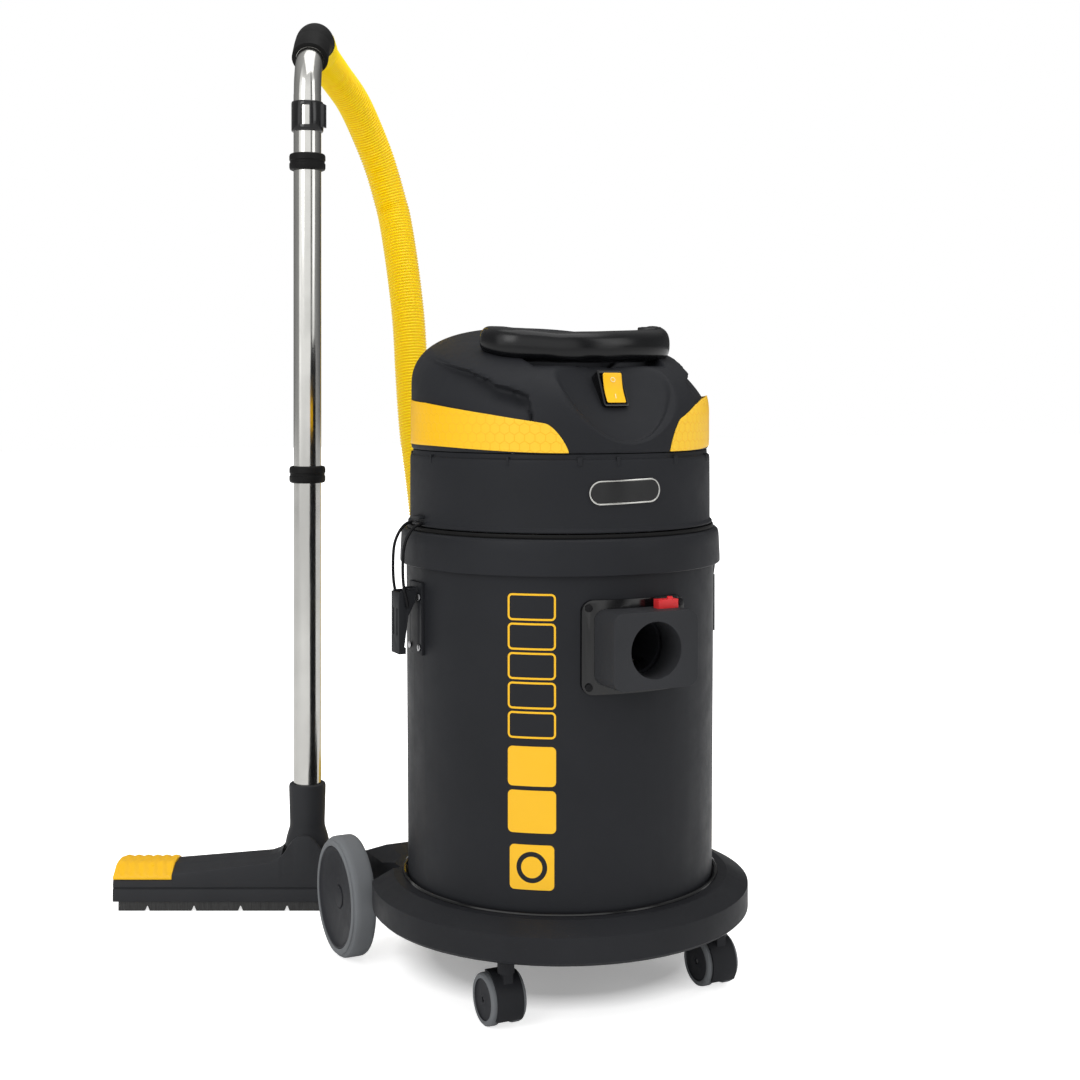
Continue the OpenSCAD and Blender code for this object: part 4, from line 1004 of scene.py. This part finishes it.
class VACUUM_OT_handle(bpy.types.Operator):
    """Builds the carry handle with its swollen grip and ribbed end."""
    bl_idname = "vacuum.handle"
    bl_label = "Carry handle"

    def execute(self, context):
        path = grip_path()
        count = len(path)
        wide, high = [], []
        for i in range(count):
            t = 2 * i / (count - 1) - 1
            end = 1 - 0.25 * smooth((abs(t) - 0.93) / 0.07)
            wide.append((17.0 - 1.5 * math.exp(-((t + 0.35) / 0.2) ** 2)) * end)
            high.append(between(t, GRIP_HALF) * (end if t > 0 else 1))
        handle = swept(path, wide, high, 40, squareness=2.5)
        rounded(handle, 3, 3, 50)
        ribs = []
        for k in range(4):
            turn = math.radians(54 + 8 * k)
            rib = slab((5.5, 24, 10), (0, 0, 0), 2.4, 3)
            rounded(rib, 1.6, 3)
            rib.rotation_euler = (0, 0, turn - 0.25)
            rib.location = (101 * math.sin(turn), -27 - 60 * math.cos(turn), 738.5 + 0.4 * k)
            ribs.append(settled(rib))
        handle = joined([handle] + ribs)
        set_down(handle, "Carry_handle", "Gloss grip", "head", ("carry_handle",),
                 angle=40)
        return {"FINISHED"}


# The seam's small tabs: their distance from the axis and their height, then the degrees from the
# front and the width of each
TAB_R, TAB_Z = 170.9, 595.5
SEAM_TABS = [(-82, 2.6), (-45.5, 2.6), (-19.6, 5.6), (-5.5, 3.8), (20, 5.6), (46, 2.6), (82, 2.6),
             (120, 5.6), (155, 3.8), (-155, 3.8), (-120, 5.6)]


class VACUUM_OT_head_ring(bpy.types.Operator):
    """Builds the head's lower ring with its seam, the rim band and the seal."""
    bl_idname = "vacuum.head_ring"
    bl_label = "Head ring and rim band"

    def execute(self, context):
        ring = turned([
            (168, 519.4), (174.6, 519.4), (175.9, 520.4), (176, 522), (174.6, 523.4), (173.5, 525),
            (173.5, 560), (173.3, 594), (172.7, 597.4), (171.2, 598), (170.2, 599), (170, 603.4),
            (168, 603.8), (150, 603.8), (150, 598), (169, 597), (169, 523), (26, 523), (26, 519.4)])
        rounded(ring, 0.5, 2)
        teeth = []
        for degrees, wide in SEAM_TABS:
            tooth = slab((wide, 6.0, 9.5), (0, 0, 0), 0.4, 2)
            turn = math.radians(degrees)
            tooth.rotation_euler = (0, 0, turn)
            tooth.location = from_front(turn, TAB_R, TAB_Z)
            rounded(settled(tooth), 0.35, 2)
            teeth.append(tooth)
        for x in (-1, 1):
            lug = slab((11, 20, 3.5), (x * 174.5, 0, 529.9), 2, 3)
            rounded(lug, 0.5, 2)
            teeth.append(lug)
        ring = joined([ring] + teeth)
        set_down(ring, "Head_ring", "Head black", "head", ("head_ring",))
        band = turned([
            (177.7, 475.2), (184.2, 475.2), (185, 476), (185, 480), (184.6, 489), (184.1, 500),
            (183.6, 508), (182.6, 511.8), (180.6, 513.7), (177, 514), (176, 514), (176, 506.2),
            (178.3, 505.4)])
        set_down(band, "Rim_band", "Satin black", "machine", ("rim_band",),
                 angle=28)
        seal = turned([(177, 514.1), (177.4, 515.2), (177.4, 517.2), (177, 518.6), (170, 518.6),
                       (170, 514.1)])
        set_down(seal, "Rim_seal", "Soft black", "machine", ("rim_seal",))
        return {"FINISHED"}


# Rear end of the bands by degrees from the front, their rows, their thickness and how far they
# stand proud; height of their foot in front and how far it rises to the rear
TRIM_END, TRIM_ROWS, TRIM_THICK, TRIM_PROUD = 150, 12, 2.0, 0.7
TRIM_FOOT, TRIM_RISE = 604.9, 5.2
# By degrees from the front: tip, end of the curve that falls off to it, and the upper edge
TRIM_TOP = {
    "left": (-23.5, -32, [
        (-150, 655), (-116, 660.5), (-106, 659.3), (-87, 657), (-77.5, 654.4), (-65.4, 650.4),
        (-52.3, 645.4), (-37.2, 638.8), (-32, 636.3), (-20, 633)]),
    "right": (17.6, 24.0, [
        (17, 636), (24, 640.5), (28, 645.3), (35.5, 654.3), (45.8, 661.5), (60, 665), (90, 662),
        (120, 660), (150, 655)]),
}


class VACUUM_OT_trim(bpy.types.Operator):
    """Builds the yellow trim bands with their curved front ends."""
    bl_idname = "vacuum.trim"
    bl_label = "Yellow trim"

    def execute(self, context):
        for side, (tip, full, upper) in TRIM_TOP.items():
            way = math.copysign(1, tip)
            turns = [tip + (full - tip) * (0.012 + 0.988 * (k / 16) ** 1.7) for k in range(17)]
            turns += [full + (way * TRIM_END - full) * k / 84 for k in range(1, 85)]
            columns = len(turns) - 1
            start_clean()
            bpy.ops.mesh.primitive_grid_add(x_subdivisions=columns, y_subdivisions=TRIM_ROWS,
                                            size=2)
            band = context.object

            def place(co):
                turn = turns[round((co.x + 1) / 2 * columns)]
                low = TRIM_FOOT + TRIM_RISE * smooth((abs(turn) - 25) / 60)
                t = max(0.0, 1 - (turn - tip) / (full - tip))
                tall = (between(turn, upper) - low) * (1 - t ** 1.6) ** (1 / 1.3)
                z = low + tall * (co.y + 1) / 2
                angle = math.radians(turn)
                return from_front(angle, skin_radius(angle, z) + TRIM_PROUD, z)
            shape(band, place)
            tidy_normals(band, 0.02)
            skin = band.modifiers.new("Thickness", "SOLIDIFY")
            skin.thickness = TRIM_THICK
            skin.offset = -1
            pick(band)
            bpy.ops.object.modifier_apply(modifier=skin.name)
            rounded(band, 0.45, 2, 50)
            tidy_normals(band, 0.001)
            set_down(band, "Trim_" + side, "Yellow honeycomb", "head",
                     ("trim_" + side,), angle=40)
        return {"FINISHED"}


def wrapped(piece, radius, facing=0.0):
    """Wraps a flat piece in the XZ plane, y its thickness, onto a cylinder round Z."""
    def place(co):
        return from_front(co.x / radius + facing, radius - co.y, co.z)
    shape(piece, place)


def pill(width, height, thick, radius, segments=10, cuts=14):
    """A flat rounded plate standing in the XZ plane with its back at y = 0."""
    plate = slab((width, height, thick), (0, 0, 0), radius, segments)
    cut_across(plate, Vector((1, 0, 0)), [-width / 2 + width * k / cuts for k in range(1, cuts)])
    shape(plate, lambda co: Vector((co.x, -co.z - thick / 2, co.y)))
    tidy_normals(plate, 0.0005)
    return plate


# Height of the oval plate and its turn from the front
BADGE_Z = 563.4
BADGE_FACING = math.radians(-2.6)


class VACUUM_OT_badge(bpy.types.Operator):
    """Builds the plain oval plate with its bright rim."""
    bl_idname = "vacuum.badge"
    bl_label = "Oval plate"

    def execute(self, context):
        rim = pill(84, 26, 2.2, 12.9)
        edit(rim)
        choose("FACE", lambda f: f.normal.y < -0.9)
        bpy.ops.mesh.inset(thickness=1.5, depth=0)
        bpy.ops.mesh.inset(thickness=0.4, depth=-0.9)
        leave_edit()
        rounded(rim, 0.35, 2)
        plate = pill(79.4, 21.4, 1.0, 10.6)
        shape(plate, lambda co: Vector((co.x, co.y - 0.9 - 0.35 * (1 - (co.z / 10.7) ** 2)
                                        * (1 if co.y < -0.5 else 0), co.z)))
        for piece, name, finish, slot, node in (
                (rim, "Badge_rim", "Chrome", "chrome", ()),
                (plate, "Badge_plate", "Gloss black", "gloss_black", ("badge_plate",))):
            shape(piece, lambda co: Vector((co.x, co.y, co.z + BADGE_Z + 0.03 * co.x)))
            wrapped(piece, 173.6, BADGE_FACING)
            set_down(piece, name, finish, "head", node)
        return {"FINISHED"}


class VACUUM_OT_switch(bpy.types.Operator):
    """Builds the switch frame and the rocker with its on and off marks."""
    bl_idname = "vacuum.switch"
    bl_label = "Switch"

    def execute(self, context):
        frame_piece = slab((31, 43, 14), (-0.5, 0, 0), 3, 5)
        edit(frame_piece)
        choose("FACE", lambda f: f.normal.z > 0.9)
        bpy.ops.mesh.inset(thickness=2.2)
        bpy.ops.mesh.extrude_region_move(TRANSFORM_OT_translate={"value": (0, 0, -1.2)})
        bpy.ops.mesh.inset(thickness=0.8)
        bpy.ops.mesh.extrude_region_move(TRANSFORM_OT_translate={"value": (0, 0, -6)})
        leave_edit()
        rounded(frame_piece, 0.6, 3)
        set_down(frame_piece, "Switch_frame", "Gloss black", "head",
                 ("switch_frame",), AT_FACE)
        rocker = slab((23.4, 34.6, 9), (0, 0, 0), 2.0, 4)
        cut_across(rocker, Vector((0, 1, 0)), range(-12, 13, 4))
        tilt = Matrix.Rotation(math.radians(6), 3, "X")
        shape(rocker, lambda co: tilt @ Vector((co.x, co.y, (
            7.2 + 2.8 * (abs(co.y) / 17.5) ** 1.6) if co.z > 0 else 1.0)))
        rounded(rocker, 1.0, 3)
        set_down(rocker, "Switch_rocker", ["Gloss black", "Yellow plastic"], "switch_rocker",
                 ("switch_rocker",), AT_FACE)
        up = Matrix.Rotation(math.radians(71), 3, "X") @ Vector((0, 0, 1))
        for face in rocker.data.polygons:
            face.material_index = 1 if face.normal.dot(up) > 0.55 else 0
        start_clean()
        bpy.ops.mesh.primitive_torus_add(major_radius=2.5, minor_radius=0.45, major_segments=32,
                                         minor_segments=8)
        ring = bpy.context.object
        shape(ring, lambda co: tilt @ Vector((co.x, co.y + 9.5, 0.5 * co.z + 8.7)))
        bar = slab((1.0, 5.4, 0.7), (0, -9.5, 8.75), 0.3, 2)
        shape(bar, lambda co: tilt @ co)
        for piece, name in ((ring, "Off_mark"), (bar, "On_mark")):
            set_down(piece, name, "White mark", "switch_rocker", (), AT_FACE)
        return {"FINISHED"}


# ---------------------------------------------------------------- drum, labels and inlet

# The print's turn from the front, the height of its square, and its blocks: middle height, height
# and whether they are filled
PRINT_FACING = math.radians(-36.4)
SQUARE_Z = 167.2
PRINT_BLOCKS = [(226, 45, True), (274, 42, True)]
PRINT_BLOCKS += [(302 + 31.2 * k + 15.6, 28.5, False) for k in range(5)]


def print_radius(z):
    """Radius of the print, a hair outside the slightly conical drum."""
    return 175.5 + 2.5 * (z - 84) / 422 + 0.12


class VACUUM_OT_drum(bpy.types.Operator):
    """Dresses the drum and its plain yellow print."""
    bl_idname = "vacuum.drum"
    bl_label = "Drum"

    def execute(self, context):
        softened("tank", 0, "Satin black", "machine", angle=30, name="Drum")
        marks = []
        for z, height, filled in PRINT_BLOCKS:
            plate = pill(52, height, 0.25, 5, 6, 12)
            if not filled:
                edit(plate)
                choose("FACE", lambda f: abs(f.normal.y) > 0.9)
                bpy.ops.mesh.inset(thickness=2.1)
                bpy.ops.mesh.delete(type="FACE")
                choose("EDGE", lambda e: e.is_boundary)
                bpy.ops.mesh.bridge_edge_loops()
                leave_edit()
            marks.append((plate, z))
        square = pill(48, 47.5, 0.25, 5, 6, 12)
        marks.append((square, SQUARE_Z))
        for plate, z in marks:
            lift(plate, z)
            wrapped(plate, print_radius(z), PRINT_FACING)
        start_clean()
        bpy.ops.mesh.primitive_torus_add(major_radius=14, minor_radius=2.6, major_segments=48,
                                         minor_segments=8)
        ring = context.object
        shape(ring, lambda co: Vector((co.x, 0.08 * co.z - 0.25, co.y + SQUARE_Z)))
        wrapped(ring, print_radius(167), PRINT_FACING)
        set_down(ring, "Drum_print_ring", "Satin black", "machine", angle=60)
        print_piece = joined([m[0] for m in marks])
        set_down(print_piece, "Drum_print", "Yellow print", "machine", angle=30)
        return {"FINISHED"}


class VACUUM_OT_inlet(bpy.types.Operator):
    """Dresses the hose inlet, its plate, screws and button."""
    bl_idname = "vacuum.inlet"
    bl_label = "Hose inlet"

    def execute(self, context):
        softened("inlet_plate", 1.2, "Gloss black", "machine")
        softened("inlet_block", 3.0, "Soft grey black", "machine", 4)
        softened("inlet_button", 2.6, "Red plastic", "inlet_button")
        softened("inlet_screws", 0.5, "Dark wire", "machine", 2)
        softened("inlet_elbow", 0.6, "Satin black", "machine", 2)
        return {"FINISHED"}


# A latch's wire bail: half the distance of its legs, half its wire, and one leg from the pivot up
# to the hook as (distance from the axis, height)
BAIL_HALF, BAIL_WIRE = 15, 1.7
BAIL_LEG = [(195, 432), (196.5, 440), (200, 456), (201, 477), (199.5, 498), (194, 512), (186, 521),
            (178, 523.5)]


class VACUUM_OT_latches(bpy.types.Operator):
    """Dresses the latch brackets, rivets, levers and wire bails."""
    bl_idname = "vacuum.latches"
    bl_label = "Latches"

    def execute(self, context):
        for side, x in SIDES:
            softened("latch_bracket_" + side, 0.8, "Satin black", "machine")
            softened("latch_lever_" + side, 0.7, "Satin black", "latch_lever_" + side)
            hook, top = BAIL_LEG[-1]
            points = [Vector((x * a, -BAIL_HALF, z)) for a, z in BAIL_LEG]
            points += [Vector((x * hook, y, top)) for y in (-13, 0, 13)]
            points += [Vector((x * a, BAIL_HALF, z)) for a, z in reversed(BAIL_LEG)]
            places, _ = evenly(curve_through(points, 6), 120)
            half = [BAIL_WIRE] * len(places)
            wire = swept(places, half, half, 12, Vector((0, 1, 0.01)))
            tips = []
            eye, low = BAIL_LEG[0]
            for y in (-12.3, 12.3):
                start_clean()
                bpy.ops.mesh.primitive_cylinder_add(vertices=12, radius=1.5, depth=5.4,
                                                    location=(x * eye, y, low),
                                                    rotation=(math.pi / 2, 0, 0))
                tips.append(settled(bpy.context.object))
            wire = joined([wire] + tips)
            set_down(wire, "Latch_wire_" + side, "Dark wire", "latch_bail_" + side,
                     ("latch_bail_" + side,))
        softened("latch_rivets", 0.6, "Steel", "machine", 2)
        return {"FINISHED"}


# ---------------------------------------------------------------- dolly and wheels

class VACUUM_OT_dolly(bpy.types.Operator):
    """Dresses the dolly with rounded edges."""
    bl_idname = "vacuum.dolly"
    bl_label = "Dolly"

    def execute(self, context):
        softened("dolly_base", 2.2, "Grained black", "machine", 4, 20, "Dolly")
        lip = turned([(177.4, 117.4), (181.6, 117.4), (182.4, 118.6), (181.9, 120.2), (180.4, 121),
                      (178.6, 120.6), (177.5, 119.4)])
        set_down(lip, "Dolly_lip", "Gloss black", "machine")
        softened("rear_axle", 1.0, "Steel", "machine", 2)
        return {"FINISHED"}


# Profiles of the wheels: distance from the wheel's axle, distance from the machine's middle plane
# or, for a castor wheel, from the middle of the castor
TYRE = [
    (59, 195.5), (61, 195.1), (66, 195.3), (68.6, 196.2), (69.8, 198.2), (70, 201), (70, 214),
    (69.7, 217.5), (68.4, 219.8), (66.2, 221), (65.4, 221.6), (65.2, 223.2), (63.6, 223.9),
    (61, 223.9), (59, 223.4)]
HUB = [
    (6.1, 168.4), (14, 168.4), (15, 169.4), (15, 197), (17, 199), (24, 200), (50, 199.2),
    (55, 197.6), (56.6, 196.2), (58.9, 196.2), (58.9, 222.2), (58.2, 223.0), (57.0, 222.8),
    (55.4, 221.4), (50, 219.9), (40, 218.6), (26, 217.9), (14, 217.7), (13, 216.9), (8, 216.8),
    (6.1, 212)]
CASTOR_WHEEL = [
    (3.05, 7.4), (24, 7.4), (26.6, 8.2), (27.5, 10), (27.5, 16.4), (27, 18.4), (25.4, 19.9),
    (23, 20.2), (21.6, 19.6), (20.8, 18.3), (18, 18.2), (8, 18.8), (6, 19.4), (3.05, 19.4)]
# Middle of the rear wheels, and the radius of a castor wheel's grey dish in metres
REAR_AXLE = (0, 150, 70)
CASTOR_DISH = 0.0212


class VACUUM_OT_wheels(bpy.types.Operator):
    """Builds the rear wheels and dresses the castors."""
    bl_idname = "vacuum.wheels"
    bl_label = "Wheels"

    def execute(self, context):
        for side, x in SIDES:
            turn = Matrix.Rotation(math.pi / 2 * x, 4, "Y")
            put = AT_DRUM @ Matrix.Translation(REAR_AXLE) @ turn
            tyre = turned(TYRE, 96)
            set_down(tyre, "Rear_tyre_" + side, "Tyre grey", "rear_wheel_" + side,
                     ("rear_tyre_" + side,), put, 30)
            hub = turned(HUB, 128)
            cap = turned([(12.9, 217.2), (12.9, 218.2), (12.2, 218.8), (6, 219.2), (0.4, 219.3)],
                         64, False)
            edit(cap)
            fill_ends(217.2, 219.3)
            leave_edit()
            tidy_normals(cap)
            hub = joined([hub, cap])
            set_down(hub, "Rear_hub_" + side, "Dish grey", "rear_wheel_" + side,
                     ("rear_hub_" + side,), put, 30)
            softened("castor_hood_" + side, 1.4, "Grained black", "castor_" + side)
            softened("castor_axle_" + side, 0.5, "Steel", "castor_" + side, 2)
            centre = joint_place("castor_wheel_%s_a_spin" % side)
            for which, out in (("a", -1), ("b", 1)):
                wheel = turned(CASTOR_WHEEL, 64)
                put = (Matrix.Translation(centre) @ MM
                       @ Matrix.Rotation(math.pi / 2 * out, 4, "Y"))
                name = "castor_wheel_%s_%s" % (side, which)
                set_down(wheel, name.capitalize(), ["Dish grey", "Tyre grey"], name,
                         (name,), put, 28)
                for face in wheel.data.polygons:
                    spot = face.center - centre
                    if math.hypot(spot.y, spot.z) > CASTOR_DISH:
                        face.material_index = 1
        return {"FINISHED"}


# ---------------------------------------------------------------- wand and floor tool

class VACUUM_OT_wand(bpy.types.Operator):
    """Dresses the chromed tubes, collars, elbow and valve."""
    bl_idname = "vacuum.wand"
    bl_label = "Wand"

    def execute(self, context):
        for part in ("lower", "middle", "upper"):
            softened("wand_tube_" + part, 0, "Chrome", "wand", angle=30)
        for part, z in (("lower", 560), ("upper", 968)):
            collar = turned([
                (18.05, -11), (20.5, -11), (22.6, -10), (23.5, -7.6), (23.5, -2.2), (22.6, -1.4),
                (22.6, 1.4), (23.5, 2.2), (23.5, 7.6), (22.6, 10), (20.5, 11), (18.05, 11)], 64)
            lift(collar, z)
            set_down(collar, "Wand_collar_" + part, "Soft black", "wand",
                     ("wand_collar_" + part,), AT_WAND, 28)
        softened("wand_elbow", 1.6, "Soft black", "wand", 4, 28)
        softened("air_valve_ring", 0.8, "Gloss black", "air_valve_ring")
        return {"FINISHED"}


# Distances from the tool's middle: side of the saddle, end of the mouth, inner edge of a cap
SADDLE_SIDE, MOUTH_END, CAP_EDGE = 29.1, 220, 169.5
# Upper edge of the tool's front face and its top, by distance from the middle
TOOL_FRONT = [(0, 97), (8, 95.5), (14, 91), (20, 83), (26, 74), (32, 67.5), (40, 64), (52, 61.5),
              (166, 48), (245, 41)]
TOOL_TOP = [(29.2, 77), (31, 74), (36, 69.5), (47, 65.8), (166, 56), (245, 50)]
# Middles of the notches in the brush strips
NOTCHES = [-201.4 + 60 * k for k in range(8)]


def tool_rows():
    """Sections of the tool's body from its left to its right end."""
    stations = [-245, -244, -169.6, -169.4, -120, -80]
    stations += [-60 + 2.5 * k for k in range(12)] + [-29.9, -29.2, -29.0]
    stations += [-26 + 2 * k for k in range(13)]
    stations += [-u for u in reversed(stations) if u < -0.5]
    rows = []
    for u in stations:
        a = abs(u)
        front, top = between(a, TOOL_FRONT), between(a, TOOL_TOP)
        rear = top - 9
        inner_y, inner_z = -14.0, top
        if a > CAP_EDGE:
            front = top = rear = 40.4
            inner_z = 40.4
        elif a < SADDLE_SIDE:
            inner_y, inner_z, top, rear = -32.8, 33.0, 33.0, 33.0
        mouth = 30.0 if a < MOUTH_END else 13.1
        edge, brow = (-33.2, max(inner_z, front - 1.0)) if a < SADDLE_SIDE else (-33.5, inner_z)
        rows.append([Vector((u, y, z)) for y, z in (
            (-37.6, 12.6), (-37.9, 14), (-37.9, 28.4), (-35.6, 29.2), (-35.6, 30.2),
            (-37, 31), (-36.2, front - 2.2), (-35.2, front - 0.4), (edge, front),
            (inner_y - 0.1, brow), (inner_y, inner_z),
            (14, top), (33.5, rear), (37, 31), (35.6, 30.2), (35.6, 29.2), (37.9, 28.4),
            (37.9, 14), (37.6, 12.6), (14, 12.6), (14, mouth), (-14, mouth), (-14, 12.6))])
    return rows


def cap_rows(x):
    """Sections of a cap with its waves, outward on the side x."""
    rows = []
    for k in range(46):
        u = 169.6 + 75.6 * k / 45
        fall = 1.5 * smooth((k - 43) / 2)
        row = [(-36.2, 40.6), (-37.4, 41.2), (-37.4, 43.0)]
        for m in range(15):
            y = -35.4 + 70.8 * m / 14
            z = 46.5 + 10.5 * smooth((35.4 - abs(y)) / 22)
            wave = 0.5 + 0.5 * math.cos(2 * math.pi * (u + 2.6 * math.cos(y / 4.5)) / 12.3)
            row.append((y, z + 1.7 * wave * smooth((35.4 - abs(y)) / 5) - fall))
        row += [(37.4, 43.0), (37.4, 41.2), (36.2, 40.6)]
        rows.append([Vector((x * u, y, z)) for y, z in row])
    return rows


class VACUUM_OT_floor_tool(bpy.types.Operator):
    """Builds the floor tool with its arched front, neck, ribbed end caps and brush strips."""
    bl_idname = "vacuum.floor_tool"
    bl_label = "Floor tool"

    def execute(self, context):
        neck = turned([
            (17.6, 44), (22, 46), (26.4, 54), (28.6, 63), (28.8, 70), (28.4, 80), (26.7, 88),
            (24.6, 95), (22.9, 101), (22.6, 106), (23.9, 153), (23.2, 156), (21.8, 157),
            (18.4, 157), (17.9, 156), (17.9, 130)], 96)
        set_down(neck, "Tool_neck", "Soft grey black", "wand", ("tool_neck",),
                 AT_TOOL)
        body = lofted(tool_rows())
        rounded(body, 0.8, 2, 40)
        set_down(body, "Tool_body", "Soft grey black", "tool", ("tool_body",),
                 AT_TOOL, 35)
        for side, x in SIDES:
            cap = lofted(cap_rows(x))
            rounded(cap, 0.6, 2, 60)
            set_down(cap, "Tool_cap_" + side, "Yellow plastic", "tool",
                     ("tool_cap_" + side,), AT_TOOL, 40)
        for part, y in (("front", -31), ("rear", 31)):
            cuts = [(-238.5, 0), (238.5, 0)]
            for u in NOTCHES:
                cuts += [(u - 3.2, 0), (u - 0.7, 6.2), (u + 0.7, 6.2), (u + 3.2, 0)]
            rows = [[Vector((u, y - 2.9, z)), Vector((u, y - 2.9, 19.6)),
                     Vector((u, y + 2.9, 19.6)), Vector((u, y + 2.9, z))] for u, z in sorted(cuts)]
            strip = lofted(rows)
            set_down(strip, "Tool_brush_" + part, "Bristle", "tool",
                     ("tool_brush_" + part,), AT_TOOL, 20)
        return {"FINISHED"}


INNER = {
    "motor_housing": "Inner grey", "filter_cage": "Inner grey", "filter_cartridge": "Filter paper",
    "float_ball": "Inner grey", "impeller": "Steel", "head_screws": "Steel",
    "cable_gland": "Soft black",
}


class VACUUM_OT_inner_parts(bpy.types.Operator):
    """Gives the parts inside the head their finishes."""
    bl_idname = "vacuum.inner_parts"
    bl_label = "Inner parts"

    def execute(self, context):
        for node, finish in INNER.items():
            piece = frame["nodes"][node]
            piece.data.materials.clear()
            piece.data.materials.append(finish_of(finish))
        return {"FINISHED"}


class VACUUM_PT_parts(bpy.types.Panel):
    """Lists the vacuum cleaner's sizes, colours and building steps."""
    bl_idname = "VACUUM_PT_parts"
    bl_label = "Vacuum cleaner"
    bl_space_type = "VIEW_3D"
    bl_region_type = "UI"
    bl_category = "Vacuum"

    def draw(self, context):
        for group in (context.scene.vacuum_sizes, context.scene.vacuum_colours):
            box = self.layout.box()
            for name in group.__annotations__:
                box.prop(group, name)
        for step in STEPS:
            self.layout.operator(step.bl_idname)


STEPS = (
    VACUUM_OT_camera, VACUUM_OT_materials, VACUUM_OT_hose, VACUUM_OT_stage, VACUUM_OT_cover,
    VACUUM_OT_handle, VACUUM_OT_head_ring, VACUUM_OT_trim, VACUUM_OT_badge, VACUUM_OT_switch,
    VACUUM_OT_drum, VACUUM_OT_inlet, VACUUM_OT_latches, VACUUM_OT_dolly, VACUUM_OT_wheels,
    VACUUM_OT_wand, VACUUM_OT_floor_tool, VACUUM_OT_inner_parts)
CLASSES = (VacuumColours, VacuumSizes, *STEPS, VACUUM_PT_parts)


def register():
    for one in CLASSES:
        bpy.utils.register_class(one)
    bpy.types.Scene.vacuum_colours = PointerProperty(type=VacuumColours)
    bpy.types.Scene.vacuum_sizes = PointerProperty(type=VacuumSizes)


def unregister():
    del bpy.types.Scene.vacuum_sizes
    del bpy.types.Scene.vacuum_colours
    for one in reversed(CLASSES):
        bpy.utils.unregister_class(one)


def main():
    register()
    bpy.context.scene.view_settings.view_transform = "Standard"
    for step in STEPS:
        group, name = step.bl_idname.split(".")
        if getattr(getattr(bpy.ops, group), name)() != {"FINISHED"}:
            raise RuntimeError(step.bl_label + " did not finish")
    start_clean()


if __name__ == "__main__":
    main()
